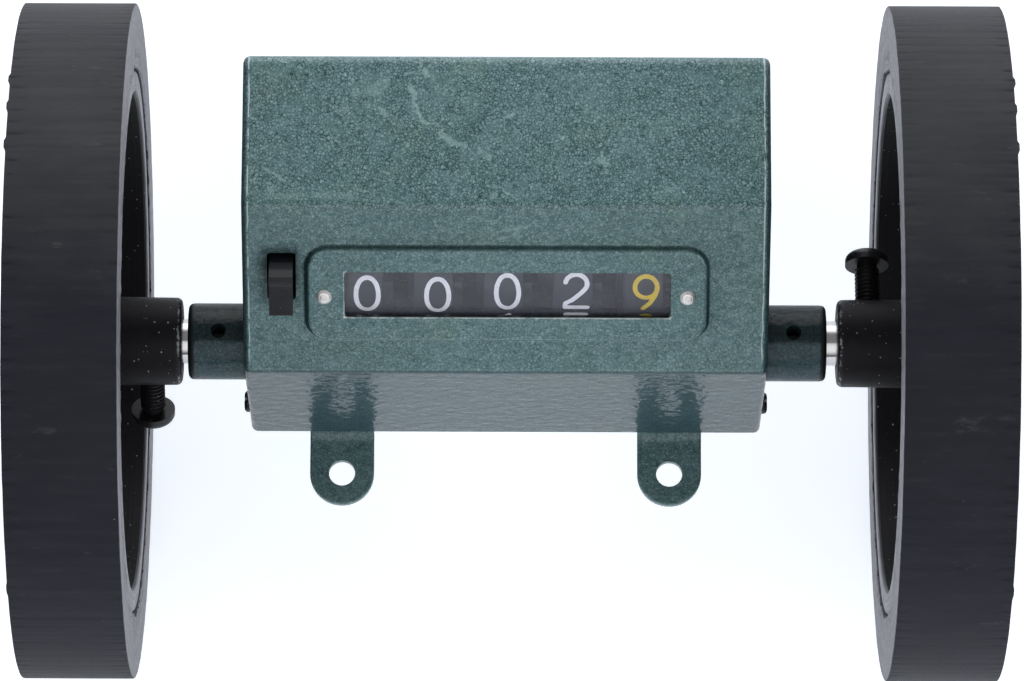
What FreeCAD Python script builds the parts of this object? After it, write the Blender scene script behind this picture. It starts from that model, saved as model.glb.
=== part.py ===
import FreeCAD, Part
import os
import math
from FreeCAD import Vector as V, Rotation, Placement

# Cable length counter: a sheet-metal counter body on a through shaft, with a
# rubber-tyred measuring wheel on each end of the shaft.
#
# Frame: X along the shaft, -Y to the front (the side with the feet and the
# number window), +Z up, origin on the shaft axis midway between the wheels.
# Millimetres throughout.

os.makedirs("parts", exist_ok=True)

# ---------------------------------------------------------------- dimensions
# measuring wheels
TYRE_R = 53.05            # rolling circumference 333.3 mm, three turns a metre
TYRE_IN, TYRE_OUT = 58.9, 76.3      # X of the inner and the outer tyre face
TYRE_BORE = 42.7
RIM_R = 38.8              # inner radius of the moulded rim
RIM_SET = 0.25            # rim face behind the tyre face
WEB_IN, WEB_OUT = 65.4, 69.6
HUB_R = 6.875
HUB_IN_L, HUB_IN_R = 51.6, 51.15    # inner ends of the hubs
HUB_OUT = 74.6
SCREW_X = {-1: 56.65, 1: 56.2}      # hub screws

# shaft
SHAFT_R = 3.5
SHAFT_END = 75.4
NECK_R = 2.5              # turned down under the number wheels
NECK_X0, NECK_X1 = -33.0, 24.62     # body X of the neck

# body, its own centre is off the wheels' midpoint
XB = -0.8
W = 81.65                 # outside width
T = 1.0                   # sheet
YF, ZB = -7.25, -26.2     # front wall and its bottom edge
Z1, RISE = 7.95, 20.65    # lower fold of the 45 degree face, and its rise
YR = 38.2                 # rear wall
R_FOLD = 2.0
R_EDGE = 1.15
ZT = Z1 + RISE            # flat top

# display face: unit normal N and up-slope S in (Y, Z)
C45 = math.sqrt(0.5)
D_FACE = (Z1 - YF) * C45  # distance of the face's outer plane from the shaft
EMB = 1.2                 # raised pad
EMB_X0, EMB_X1 = -30.95, 31.25
EMB_S0, EMB_S1 = 6.5, 22.7
EMB_R = 3.6
WIN_X0, WIN_X1 = -25.0, 25.5
WIN_S0, WIN_S1 = 10.8, 18.7
RIVET_X, RIVET_S = 28.15, 14.4
SLOT_X0, SLOT_X1 = -36.95, -32.5
SLOT_S0, SLOT_S1 = 13.3, 21.4

# bearing bosses
BOSS_R = 6.0
BOSS_L, BOSS_RT = 49.8, 50.2        # body X of the outer ends
OIL_X = 45.0
OIL_R = 1.2

# counter train
AXLE_D = -2.35
CD = 15.0                 # shaft to number-wheel axle
AXLE_S = math.sqrt(CD * CD - AXLE_D * AXLE_D)
PITCH = 10.85             # number wheel to number wheel
RIM_OFF = -0.4            # rim centre of the middle wheel
RIM_HALF = 3.125
DRUM_R = 12.1
AXLE_R = 1.5
RUN = 0.05                # running clearance, radial
M_DRIVE, N_PIN, N_GEAR = 0.5, 15, 45
M_CARRY, N_CARRY, N_RING = 1.0, 8, 20
CARRY_C = 14.0
CARRY_AXLE_R = 1.25
PLATE_X0, PLATE_X1 = 28.9, 29.9     # side plates of the counter frame
FLOOR_Z0, FLOOR_Z1 = -24.8, -23.6   # base plate
RESET_Y, RESET_Z = 27.0, 0.0        # filled in below
LEVER_X, LEVER_W = -34.72, 3.65
LEVER_TRAVEL = 8.0        # degrees

# feet
FOOT_X = 26.3
FOOT_W = 10.3
FOOT_Y = -13.45
FOOT_ZT = -28.8
FOOT_T = 1.2
FOOT_HOLE_R = 2.1


# ------------------------------------------------------------------- helpers
def ds(d, s):
    """(Y, Z) of a point at distance d out of the display face direction and
    s up its slope, both from the shaft axis."""
    return (-C45 * d + C45 * s, C45 * d + C45 * s)


AY, AZ = ds(AXLE_D, AXLE_S)
RESET_Y, RESET_Z = AY + 14.9, AZ
CY, CZ = AY, AZ - CARRY_C


def cyl(x0, x1, r, y=0.0, z=0.0):
    """solid cylinder along X"""
    return Part.makeCylinder(r, x1 - x0, V(x0, y, z), V(1, 0, 0))


def tube(x0, x1, ro, ri, y=0.0, z=0.0):
    return cyl(x0, x1, ro, y, z).cut(cyl(x0 - 1, x1 + 1, ri, y, z))


def prism_x(pts, x0, x1):
    """polygon of (Y, Z) points run along X"""
    vs = [V(x0, p[0], p[1]) for p in pts]
    w = Part.makePolygon(vs + [vs[0]])
    return Part.Face(w).extrude(V(x1 - x0, 0, 0))


def box(x0, y0, z0, x1, y1, z1):
    return Part.makeBox(x1 - x0, y1 - y0, z1 - z0, V(x0, y0, z0))


def revolve_x(pts, y=0.0, z=0.0):
    """closed (x, r) outline turned about the X axis"""
    vs = [V(p[0], p[1], 0) for p in pts]
    w = Part.makePolygon(vs + [vs[0]])
    s = Part.Face(w).revolve(V(0, 0, 0), V(1, 0, 0), 360)
    s.translate(V(0, y, z))
    return s


def face_place(shape):
    """from the flat frame (x, slope, out) to the tilted display face"""
    m = FreeCAD.Matrix(1, 0, 0, 0,
                       0, C45, -C45, 0,
                       0, C45, C45, 0,
                       0, 0, 0, 1)
    s = shape.copy()
    s.Placement = Placement(m).multiply(s.Placement)
    return s


def rrect(x0, s0, x1, s1, r, d0, d1):
    """rounded rectangle on the display face, from depth d0 to d1"""
    b = Part.makeBox(x1 - x0, s1 - s0, d1 - d0, V(x0, s0, d0))
    if r > 0:
        ed = [e for e in b.Edges
              if abs(e.tangentAt(e.FirstParameter).z) > 0.99]
        b = b.makeFillet(r, ed)
    return face_place(b)


def fused(shapes):
    s = shapes[0]
    if len(shapes) > 1:
        s = s.fuse(shapes[1:])
    s = s.removeSplitter()
    return s


def shift(shape, dx=XB):
    s = shape.copy()
    s.translate(V(dx, 0, 0))
    return s


def turned(shape, deg, y=0.0, z=0.0):
    """turn about an X-parallel line by the right-hand rule"""
    s = shape.copy()
    s.rotate(V(0, y, z), V(1, 0, 0), deg)
    return s


def involute_gear(m, n, x0, x1, phase, add=1.0, ded=1.25, thin=0.0, pa=20.0,
                  steps=6):
    """spur gear about the X axis; a tooth is centred on the angle phase
    (degrees, from +Y towards +Z). thin is taken off the tooth at the pitch
    circle, in mm."""
    rp = m * n / 2.0
    rb = rp * math.cos(math.radians(pa))
    ra = rp + add * m
    rf = rp - ded * m
    t = math.pi * m / 2.0 - thin

    def half(r):
        if r <= rb:
            r = rb
        al = math.acos(min(1.0, rb / r))
        inv = math.tan(al) - al
        ap = math.radians(pa)
        invp = math.tan(ap) - ap
        return t / (2 * rp) + invp - inv

    rs = max(rb, rf)
    prof = []
    for i in range(steps + 1):
        r = rs + (ra - rs) * i / steps
        prof.append((r, max(half(r), 0.004)))
    pts = []
    for k in range(n):
        c = math.radians(phase) + 2 * math.pi * k / n
        if rf < rb:
            pts.append((rf, c - prof[0][1]))
        for r, h in prof:
            pts.append((r, c - h))
        for r, h in reversed(prof):
            pts.append((r, c + h))
        if rf < rb:
            pts.append((rf, c + prof[0][1]))
    poly = [(r * math.cos(a), r * math.sin(a)) for r, a in pts]
    return prism_x(poly, x0, x1)


def screw_z(r, length, head_r, head_h, slot=True, pan=True, thread=None):
    """screw along Z, underside of the head at z = 0, shank down"""
    hd = Part.makeCylinder(head_r, head_h, V(0, 0, 0), V(0, 0, 1))
    if pan:
        e = [x for x in hd.Edges if abs(x.BoundBox.ZMin - head_h) < 1e-6
             and x.BoundBox.ZLength < 1e-6]
        hd = hd.makeFillet(head_h * 0.62, e)
    sh = Part.makeCylinder(r, length, V(0, 0, -length), V(0, 0, 1))
    if thread:
        # thread drawn as closed ridges at the thread's pitch
        pitch, deep, z0, z1 = thread
        core = Part.makeCylinder(r - deep, length, V(0, 0, -length),
                                 V(0, 0, 1))
        n = int((z1 - z0) / pitch)
        pts = [(0, z0)]
        pts.append((r - deep, z0))
        for i in range(n):
            z = z0 + i * pitch
            pts.append((r - deep, z + 0.08 * pitch))
            pts.append((r, z + 0.46 * pitch))
            pts.append((r, z + 0.58 * pitch))
            pts.append((r - deep, z + 0.96 * pitch))
        pts.append((r - deep, z1))
        pts.append((0, z1))
        vs = [V(p[0], 0, p[1]) for p in pts]
        rv = Part.Face(Part.makePolygon(vs + [vs[0]])).revolve(
            V(0, 0, 0), V(0, 0, 1), 360)
        sh = core.fuse(rv)
    s = hd.fuse(sh)
    if slot:
        s = s.cut(Part.makeBox(4 * head_r, head_r * 0.3, head_h,
                               V(-2 * head_r, -head_r * 0.15,
                                 head_h * 0.5)))
    return s.removeSplitter()


def place_z(shape, pos, direction):
    """put a Z-built shape at pos with its +Z along direction"""
    s = shape.copy()
    s.Placement = Placement(V(*pos), Rotation(V(0, 0, 1), V(*direction)))
    return s


nodes = {}


def out(name, shape):
    solids = shape.Solids
    for k in solids:
        if not k.isValid() or k.Volume <= 0:
            print("CHECK", name, k.isValid(), k.Volume)
    sh = solids[0] if len(solids) == 1 else Part.makeCompound(solids)
    nodes[name] = sh
    sh.exportStep("parts/%s.step" % name)
    bb = sh.BoundBox
    print("%-24s solids %d  vol %9.1f  x %7.2f %7.2f  y %7.2f %7.2f  "
          "z %7.2f %7.2f" % (name, len(solids), sh.Volume, bb.XMin, bb.XMax,
                             bb.YMin, bb.YMax, bb.ZMin, bb.ZMax))


# ------------------------------------------------------------------- housing
hw = W / 2.0
outline = [(YF, ZB), (YF, Z1), (YF + RISE, ZT), (YR, ZT), (YR, ZB)]
outer = prism_x(outline, -hw, hw)


def x_edges(shape, where):
    res = []
    for e in shape.Edges:
        b = e.BoundBox
        if b.XLength > 10 and b.YLength < 1e-4 and b.ZLength < 1e-4:
            for (y, z) in where:
                if abs(b.YMin - y) < 0.01 and abs(b.ZMin - z) < 0.01:
                    res.append(e)
    return res


folds = [outline[1], outline[2], outline[3]]
outer = outer.makeFillet(R_FOLD, x_edges(outer, folds))
rim_edges = [e for e in outer.Edges
             if abs(abs(e.BoundBox.XMin) - hw) < 1e-4
             and e.BoundBox.XLength < 1e-4
             and not (abs(e.BoundBox.ZMin - ZB) < 1e-4
                      and e.BoundBox.ZLength < 1e-4)]
outer = outer.makeFillet(R_EDGE, rim_edges)

# inner skin, one sheet inside
k = T * math.tan(math.radians(22.5))
inner_pts = [(YF + T, ZB - 5), (YF + T, Z1 - k), (YF + RISE + k, ZT - T),
             (YR - T, ZT - T), (YR - T, ZB - 5)]
inner = prism_x(inner_pts, -hw + T, hw - T)
inner = inner.makeFillet(R_FOLD - T, x_edges(
    inner, [inner_pts[1], inner_pts[2], inner_pts[3]]))

# raised pad round the window, pressed out of the sheet
pad = Part.makeBox(EMB_X1 - EMB_X0, EMB_S1 - EMB_S0, EMB + 1.0,
                   V(EMB_X0, EMB_S0, D_FACE - 1.0))
pad = pad.makeFillet(EMB_R, [e for e in pad.Edges
                             if abs(e.tangentAt(e.FirstParameter).z) > 0.99])
pad_top = [e for e in pad.Edges if e.BoundBox.ZMin > D_FACE + EMB - 1e-4]
pad = pad.makeFillet(0.75, pad_top)
pad = face_place(pad)
pocket = rrect(EMB_X0 + T, EMB_S0 + T, EMB_X1 - T, EMB_S1 - T, EMB_R - T,
               D_FACE - 3.0, D_FACE + EMB - T)
housing = outer.fuse(pad)
# soft root where the pad meets the face
try:
    ed = []
    for e in housing.Edges:
        b = e.BoundBox
        ok = True
        for p in e.discretize(5):
            d = -C45 * p.y + C45 * p.z
            s = C45 * p.y + C45 * p.z
            if abs(d - D_FACE) > 1e-3 or not (
                    EMB_S0 - 0.01 < s < EMB_S1 + 0.01
                    and EMB_X0 - 0.01 < p.x < EMB_X1 + 0.01):
                ok = False
        if ok:
            ed.append(e)
    h2 = housing.makeFillet(0.6, ed)
    if h2.isValid():
        housing = h2
except Exception as ex:
    print("pad root fillet left out", ex)
housing = housing.cut([inner, pocket])
cuts = [rrect(WIN_X0, WIN_S0, WIN_X1, WIN_S1, 0.5, D_FACE - 2, D_FACE + 4),
        rrect(SLOT_X0, SLOT_S0, SLOT_X1, SLOT_S1, 0.5, D_FACE - 3,
              D_FACE + 3)]
for sx in (-1, 1):
    c = Part.makeCylinder(0.72, 8, V(sx * RIVET_X, RIVET_S, D_FACE - 3),
                          V(0, 0, 1))
    cuts.append(face_place(c))
    cuts.append(cyl(sx * hw - 3, sx * hw + 3, BOSS_R + 0.0))
    # side screw
    cuts.append(cyl(sx * hw - 3, sx * hw + 3, 1.05, -3.9, -20.6))
    # rear screw
    cuts.append(Part.makeCylinder(1.35, 6, V(sx * 30.0, YR - 3, -20.6),
                                  V(0, 1, 0)))
housing = housing.cut(cuts)
out("housing", shift(housing))

# ---------------------------------------------------------------- base plate
fx0, fx1 = -hw + T + 0.15, hw - T - 0.15
fy0, fy1 = YF + T + 0.1, YR - T - 0.1
R_IN = 0.8
floor = box(fx0, fy0 + 2.2, FLOOR_Z0, fx1, fy1, FLOOR_Z1)
parts_b = [floor]
# upturned flanges: left, right and rear
for sx in (-1, 1):
    x = fx0 if sx < 0 else fx1 - FOOT_T
    parts_b.append(box(x, fy0 + 0.6, FLOOR_Z0, x + FOOT_T, fy1 - 4.0, -16.6))
parts_b.append(box(-34.0, fy1 - FOOT_T, FLOOR_Z0, 34.0, fy1, -16.6))
# front lip between the feet, stiffening the floor
parts_b.append(box(-19.0, fy0, FLOOR_Z0, 19.0, fy0 + FOOT_T, -20.0))
parts_b.append(box(-19.0, fy0, FLOOR_Z0, 19.0, fy0 + 3.0, FLOOR_Z1))
base = fused(parts_b)

# a foot: floor, down behind the front wall, then forward
RB = 2.5                  # inside radius of the forward bend
RA = 1.0                  # inside radius of the downward bend


def foot(xc):
    x0, x1 = xc - FOOT_W / 2, xc + FOOT_W / 2
    yb = fy0                       # front face of the drop
    t = FOOT_T
    zt, zb = FOOT_ZT, FOOT_ZT - t

    def pt(y, z):
        return V(x0, y, z)

    def arc(cy, cz, r, a0, a1):
        p = [pt(cy + r * math.cos(math.radians(a)),
                cz + r * math.sin(math.radians(a)))
             for a in (a0, (a0 + a1) / 2.0, a1)]
        return p, Part.Arc(p[0], p[1], p[2]).toShape()

    def line(p, q):
        return Part.LineSegment(p, q).toShape()

    # section in (Y, Z): along the top side forward, back along the lower one
    a1, e1 = arc(yb + t + RA, FLOOR_Z0 - RA, RA + t, 90, 180)
    a2, e2 = arc(yb - RB, zt + RB, RB, 0, -90)
    a3, e3 = arc(yb - RB, zt + RB, RB + t, -90, 0)
    a4, e4 = arc(yb + t + RA, FLOOR_Z0 - RA, RA, 180, 90)
    s0, s1 = pt(fy0 + 6.0, FLOOR_Z1), pt(fy0 + 6.0, FLOOR_Z0)
    f0, f1 = pt(FOOT_Y, zt), pt(FOOT_Y, zb)
    w = Part.Wire([line(s0, a1[0]), e1, line(a1[2], a2[0]), e2,
                   line(a2[2], f0), line(f0, f1), line(f1, a3[0]), e3,
                   line(a3[2], a4[0]), e4, line(a4[2], s1), line(s1, s0)])
    s = Part.Face(w).extrude(V(x1 - x0, 0, 0))
    # full-round tip, its upper edge rounded by the shearing
    tip = Part.makeCylinder(FOOT_W / 2, t, V(xc, FOOT_Y, zb), V(0, 0, 1))
    s = s.fuse(tip).removeSplitter()
    try:
        ed = []
        for e in s.Edges:
            m = e.valueAt((e.FirstParameter + e.LastParameter) / 2.0)
            b = e.BoundBox
            if abs(m.z - zt) < 1e-3 and b.ZLength < 1e-3 \
                    and b.YMax < yb - RB + 0.02:
                if abs(m.x - xc) > FOOT_W / 2 - 0.01 or b.YMin < FOOT_Y - 1:
                    ed.append(e)
        s2 = s.makeFillet(0.35, ed)
        if s2.isValid():
            s = s2
    except Exception as ex:
        print("foot edge left square", ex)
    hole = Part.makeCylinder(FOOT_HOLE_R, 6, V(xc, FOOT_Y, zb - 2),
                             V(0, 0, 1))
    return s.cut(hole)


feet = [foot(sx * FOOT_X) for sx in (-1, 1)]
base = fused([base] + feet)
bc = []
for sx in (-1, 1):
    bc.append(cyl(sx * hw - 5, sx * hw + 5, 1.0, -3.9, -20.6))
    bc.append(Part.makeCylinder(1.02, 8, V(sx * 30.0, fy1 - 4, -20.6),
                                V(0, 1, 0)))
    for y in (6.0, 28.0):
        bc.append(Part.makeCylinder(1.25, 8, V(sx * 26.0, y, -28),
                                    V(0, 0, 1)))
base = base.cut(bc)
out("base_plate", shift(base))

# ----------------------------------------------------------- bearing bosses
def boss(sx, xe):
    """painted steel boss: tube through the side wall, flange inside it"""
    x_wall = hw - T
    pts = [(x_wall - 1.2, 9.0), (x_wall, 9.0), (x_wall, BOSS_R),
           (xe - 1.0, BOSS_R), (xe - 1.0, 4.5), (x_wall - 1.2, 4.5)]
    b = revolve_x(pts)
    if sx < 0:
        b = b.mirror(V(0, 0, 0), V(1, 0, 0))
    b = b.cut(Part.makeCylinder(OIL_R, 10, V(sx * OIL_X, 0, 0), V(0, 0, 1)))
    # flange trimmed straight where it meets the front wall
    b = b.cut(box(-60, -12, -12, 60, YF + T + 0.08, 12))
    return b


def bush(sx, xe):
    """sintered bush, its rounded flange closing the end of the boss"""
    f0 = xe - 1.0
    r = 0.8
    pts = [(hw - T - 1.8, 3.5 + RUN), (hw - T - 1.8, 4.5), (f0, 4.5),
           (f0, BOSS_R - 0.03)]
    for i in range(7):
        a = math.radians(90 - 90 * i / 6)
        pts.append((xe - r + r * math.cos(a),
                    BOSS_R - 0.03 - r + r * math.sin(a)))
    pts.append((xe, 3.5 + RUN + 0.35))
    pts.append((xe - 0.35, 3.5 + RUN))
    b = revolve_x(pts)
    if sx < 0:
        b = b.mirror(V(0, 0, 0), V(1, 0, 0))
    b = b.cut(Part.makeCylinder(0.9, 10, V(sx * OIL_X, 0, 0), V(0, 0, 1)))
    return b


out("bearing_boss_left", shift(boss(-1, BOSS_L)))
out("bearing_boss_right", shift(boss(1, BOSS_RT)))
out("bearing_bush_left", shift(bush(-1, BOSS_L)))
out("bearing_bush_right", shift(bush(1, BOSS_RT)))

# --------------------------------------------------------------------- shaft
gear_x0, gear_x1 = 24.8, 26.6      # drive gear, body X
dir_ao = math.degrees(math.atan2(-AZ, -AY))    # from the axle to the shaft
dir_oa = dir_ao - 180.0
GROOVE = 36.9              # body X of the ring grooves
sh_pts = [(-SHAFT_END, 0), (-SHAFT_END, SHAFT_R - 0.5),
          (-SHAFT_END + 0.5, SHAFT_R)]


def groove(x):
    return [(x - 0.4, SHAFT_R), (x - 0.4, SHAFT_R - 0.7),
            (x + 0.4, SHAFT_R - 0.7), (x + 0.4, SHAFT_R)]


sh_pts += groove(XB - GROOVE)
sh_pts += [(XB + NECK_X0, SHAFT_R), (XB + NECK_X0 + 1.0, NECK_R),
           (XB + NECK_X1, NECK_R)]
root_r = M_DRIVE * N_PIN / 2.0 - 1.25 * M_DRIVE
sh_pts += [(XB + NECK_X1 + 0.1, root_r), (XB + gear_x1 + 1.2, root_r),
           (XB + gear_x1 + 1.6, SHAFT_R)]
sh_pts += groove(XB + GROOVE)
sh_pts += [(SHAFT_END - 0.5, SHAFT_R), (SHAFT_END, SHAFT_R - 0.5),
           (SHAFT_END, 0)]
shaft = revolve_x(sh_pts)
pin = involute_gear(M_DRIVE, N_PIN, XB + gear_x0 - 0.1, XB + gear_x1 + 0.4,
                    dir_oa + 180.0 / N_PIN, add=0.9, ded=1.25, thin=0.12)
shaft = shaft.fuse(pin).removeSplitter()
out("drive_shaft", shaft)


def ring(x0, x1, ri, ro, y=0.0, z=0.0, gap=2.2, deg=0.0):
    """retaining ring with its open side at deg"""
    r = tube(x0, x1, ro, ri, y, z)
    r = r.cut(turned(box(x0 - 1, y, z - gap / 2, x1 + 1, y + ro + 2,
                         z + gap / 2), deg, y, z))
    return r


clips = [ring(XB + s * GROOVE - 0.35, XB + s * GROOVE + 0.35,
              SHAFT_R - 0.7, 5.6, gap=4.2, deg=200.0) for s in (-1, 1)]
out("shaft_retaining_rings", Part.makeCompound(clips))
wash = []
for s in (-1, 1):
    # thrust washer between ring and bush
    x0, x1 = sorted((XB + s * (GROOVE + 0.38),
                     XB + s * (hw - T - 1.8 - 0.06)))
    wash.append(tube(x0, x1, 5.9, SHAFT_R))
out("thrust_washers", Part.makeCompound(wash))


# -------------------------------------------------------------------- wheels
def wheel(sx, hub_in):
    f = RIM_SET
    xi, xo = TYRE_IN + f, TYRE_OUT - f
    pts = [(hub_in + 0.4, SHAFT_R), (hub_in, SHAFT_R + 0.4)]
    r = 0.9
    for i in range(6):
        a = math.radians(180 - 90 * i / 5)
        pts.append((hub_in + r + r * math.cos(a),
                    HUB_R - r + r * math.sin(a)))

    def fil(cx, cr, rad, a0, a1, n=6):
        for i in range(n + 1):
            a = math.radians(a0 + (a1 - a0) * i / n)
            pts.append((cx + rad * math.cos(a), cr + rad * math.sin(a)))
    # hub into web, web into rim, inner side
    fil(WEB_IN - 2.5, HUB_R + 2.6, 2.5, -90, 0)
    pts.append((WEB_IN, 20.0))
    pts.append((WEB_IN + 0.4, 21.0))
    pts.append((WEB_IN + 0.4, RIM_R - 5.5))
    fil(WEB_IN - 2.0, RIM_R - 2.4, 2.4, 0, 90)
    pts.append((xi + 0.5, RIM_R + 0.15))
    pts.append((xi, RIM_R + 0.65))
    # rim seat under the tyre
    pts.append((xi, TYRE_BORE - 0.4))
    pts.append((xi + 0.4, TYRE_BORE))
    pts.append((xo - 0.4, TYRE_BORE))
    pts.append((xo, TYRE_BORE - 0.4))
    pts.append((xo, RIM_R + 0.65))
    pts.append((xo - 0.5, RIM_R + 0.15))
    fil(WEB_OUT + 2.0, RIM_R - 2.4, 2.4, 90, 180)
    pts.append((WEB_OUT - 0.4, RIM_R - 5.5))
    pts.append((WEB_OUT - 0.4, 21.0))
    pts.append((WEB_OUT, 20.0))
    fil(WEB_OUT + 2.5, HUB_R + 2.6, 2.5, 180, 270)
    pts.append((HUB_OUT - 0.6, HUB_R))
    pts.append((HUB_OUT, HUB_R - 0.6))
    pts.append((HUB_OUT, SHAFT_R + 0.4))
    pts.append((HUB_OUT - 0.4, SHAFT_R))
    w = revolve_x(pts)
    if sx < 0:
        w = w.mirror(V(0, 0, 0), V(1, 0, 0))
    return w


# hub screws: (side, Y, Z direction of the head)
ANG = {-1: (-0.581, -0.814), 1: (0.989, -0.148)}
wheels, tyres, hub_screws = {}, {}, []
for sx, hub_in in ((-1, HUB_IN_L), (1, HUB_IN_R)):
    w = wheel(sx, hub_in)
    dy, dz = ANG[sx]
    n = math.hypot(dy, dz)
    dy, dz = dy / n, dz / n
    hole = Part.makeCylinder(2.0, 12, V(sx * SCREW_X[sx], 0, 0), V(0, dy, dz))
    w = w.cut(hole)
    wheels[sx] = w
    sc = screw_z(1.98, 9.9, 3.45, 2.0, thread=(0.7, 0.38, -9.7, -0.25))
    hub_screws.append(place_z(sc, (sx * SCREW_X[sx], dy * 13.55, dz * 13.55),
                              (0, dy, dz)))
    # tyre: a moulded rubber band, its fine tread lines left to the finish
    x0, x1 = sorted((sx * TYRE_IN, sx * TYRE_OUT))
    c = 0.15
    tyres[sx] = revolve_x([(x0, TYRE_BORE), (x0, TYRE_R - c),
                           (x0 + c, TYRE_R), (x1 - c, TYRE_R),
                           (x1, TYRE_R - c), (x1, TYRE_BORE)])
out("wheel_left", wheels[-1])
out("wheel_right", wheels[1])
out("tyre_left", tyres[-1])
out("tyre_right", tyres[1])
out("hub_screws", Part.makeCompound(hub_screws))

# ------------------------------------------------------------- counter frame
def plate(x0, x1):
    p = [(-5.9, FLOOR_Z1), (32.6, FLOOR_Z1), (32.6, 14.0), (25.0, 22.6),
         ds(9.6, 21.0), ds(9.6, 19.2), ds(10.13, 19.0), ds(10.13, 10.3),
         ds(9.6, 10.1), ds(9.6, 8.4), (-5.9, 5.6)]
    return prism_x(p, x0, x1)


def tab(sx):
    x0, x1 = sorted((sx * (26.9), sx * PLATE_X1))
    b = Part.makeBox(x1 - x0, 7.0, 1.0, V(x0, RIVET_S - 3.5, 9.13))
    return face_place(b)


frame = fused([plate(-PLATE_X1, -PLATE_X0), plate(PLATE_X0, PLATE_X1),
               box(-PLATE_X1, 2.0, FLOOR_Z1, PLATE_X1, 32.6, FLOOR_Z1 + 1.0),
               tab(-1), tab(1),
               cyl(-PLATE_X1 - 1.4, -PLATE_X0 - 0.5, 0.55, RESET_Y - 7.4,
                   RESET_Z + 2.35 - 0.87)])
fc = []
for sx in (-1, 1):
    x0, x1 = sx * 29.4 - 2, sx * 29.4 + 2
    fc.append(cyl(x0, x1, 4.4))                        # shaft passes clear
    fc.append(cyl(x0, x1, AXLE_R, AY, AZ))
    fc.append(cyl(x0, x1, CARRY_AXLE_R, CY, CZ))
    fc.append(cyl(x0, x1, AXLE_R + RUN, RESET_Y, RESET_Z))
    fc.append(face_place(Part.makeCylinder(
        0.72, 8, V(sx * RIVET_X, RIVET_S, 6), V(0, 0, 1))))
    for y in (6.0, 28.0):
        fc.append(Part.makeCylinder(1.25, 8, V(sx * 26.0, y, -26),
                                    V(0, 0, 1)))
frame = frame.cut(fc)
# lightening hole in the web
frame = frame.cut(box(-18, 8, FLOOR_Z1 - 1, 18, 26, FLOOR_Z1 + 3))
out("counter_frame", shift(frame))

fs = []
for sx in (-1, 1):
    for y in (6.0, 28.0):
        s = screw_z(1.22, 3.4, 2.3, 1.2)
        fs.append(place_z(s, (sx * 26.0, y, FLOOR_Z0), (0, 0, -1)))
out("frame_screws", shift(Part.makeCompound(fs)))

# lens: clear sheet in the pressed-out pocket behind the window
lens = rrect(EMB_X0 + T + 0.1, EMB_S0 + T + 0.1, EMB_X1 - T - 0.1,
             EMB_S1 - T - 0.1, EMB_R - T - 0.2, 10.15, D_FACE + EMB - T)
lens = lens.cut([face_place(Part.makeCylinder(
    0.72, 8, V(sx * RIVET_X, RIVET_S, 6), V(0, 0, 1))) for sx in (-1, 1)])
out("window_lens", shift(lens))

rv = []
for sx in (-1, 1):
    h = 0.62
    rr = (1.28 ** 2 + h * h) / (2 * h)
    top = D_FACE + EMB
    dome = Part.makeSphere(rr, V(0, 0, top + h - rr))
    dome = dome.common(Part.makeCylinder(1.28, 2, V(0, 0, top), V(0, 0, 1)))
    s = dome.fuse([Part.makeCylinder(0.70, top - 9.13 + 0.01,
                                     V(0, 0, 9.13), V(0, 0, 1)),
                   Part.makeCylinder(1.4, 0.5, V(0, 0, 8.63), V(0, 0, 1))])
    s = s.removeSplitter()
    s.translate(V(sx * RIVET_X, RIVET_S, 0))
    # the set end is flattened against the side plate
    s = s.cut(box(sx * 30.85 - 2, 0, 6, sx * 30.85 + 2, 30, 9.13))
    rv.append(face_place(s))
out("window_rivets", shift(Part.makeCompound(rv)))

# ------------------------------------------------------------- cover screws
ss, rs = [], []
for sx in (-1, 1):
    s = screw_z(0.98, 3.2, 1.72, 0.95)
    ss.append(place_z(s, (sx * hw, -3.9, -20.6), (sx, 0, 0)))
    s = screw_z(1.0, 3.4, 2.2, 1.3)
    rs.append(place_z(s, (sx * 30.0, YR, -20.6), (0, 1, 0)))
out("side_screws", shift(Part.makeCompound(ss)))
out("rear_screws", shift(Part.makeCompound(rs)))

# -------------------------------------------------------- axles and spacers
CLIP_X = 30.25
na = [(-31.4, 0), (-31.4, AXLE_R - 0.2), (-31.2, AXLE_R),
      (-CLIP_X - 0.35, AXLE_R), (-CLIP_X - 0.35, 1.0),
      (-CLIP_X + 0.3, 1.0), (-CLIP_X + 0.3, AXLE_R)]
na = na + [(-x, r) for x, r in reversed(na)]
axle = revolve_x(na, AY, AZ)
out("number_wheel_axle", shift(axle))
ca = [(-31.4, 0), (-31.4, CARRY_AXLE_R - 0.2), (-31.2, CARRY_AXLE_R),
      (-CLIP_X - 0.35, CARRY_AXLE_R), (-CLIP_X - 0.35, 0.8),
      (-CLIP_X + 0.3, 0.8), (-CLIP_X + 0.3, CARRY_AXLE_R)]
ca = ca + [(-x, r) for x, r in reversed(ca)]
out("carry_pinion_axle", shift(revolve_x(ca, CY, CZ)))
ec = []
for sx in (-1, 1):
    x0, x1 = sorted((sx * (PLATE_X1 + 0.05), sx * (PLATE_X1 + 0.6)))
    ec.append(ring(x0, x1, 1.0, 2.9, AY, AZ, gap=1.9, deg=60))
    ec.append(ring(x0, x1, 0.8, 2.5, CY, CZ, gap=1.5, deg=300))
out("axle_clips", shift(Part.makeCompound(ec)))

# --------------------------------------------------------------- number wheels
# digit d stands in the window when the wheel is turned by d * 36 degrees
VIEW = 135.0               # direction of the window from the axle, degrees
NAMES = ["ten_thousands_wheel", "thousands_wheel", "hundreds_wheel",
         "tens_wheel", "units_wheel"]


def rim_x(i):
    return RIM_OFF + (i - 2) * PITCH


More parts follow.
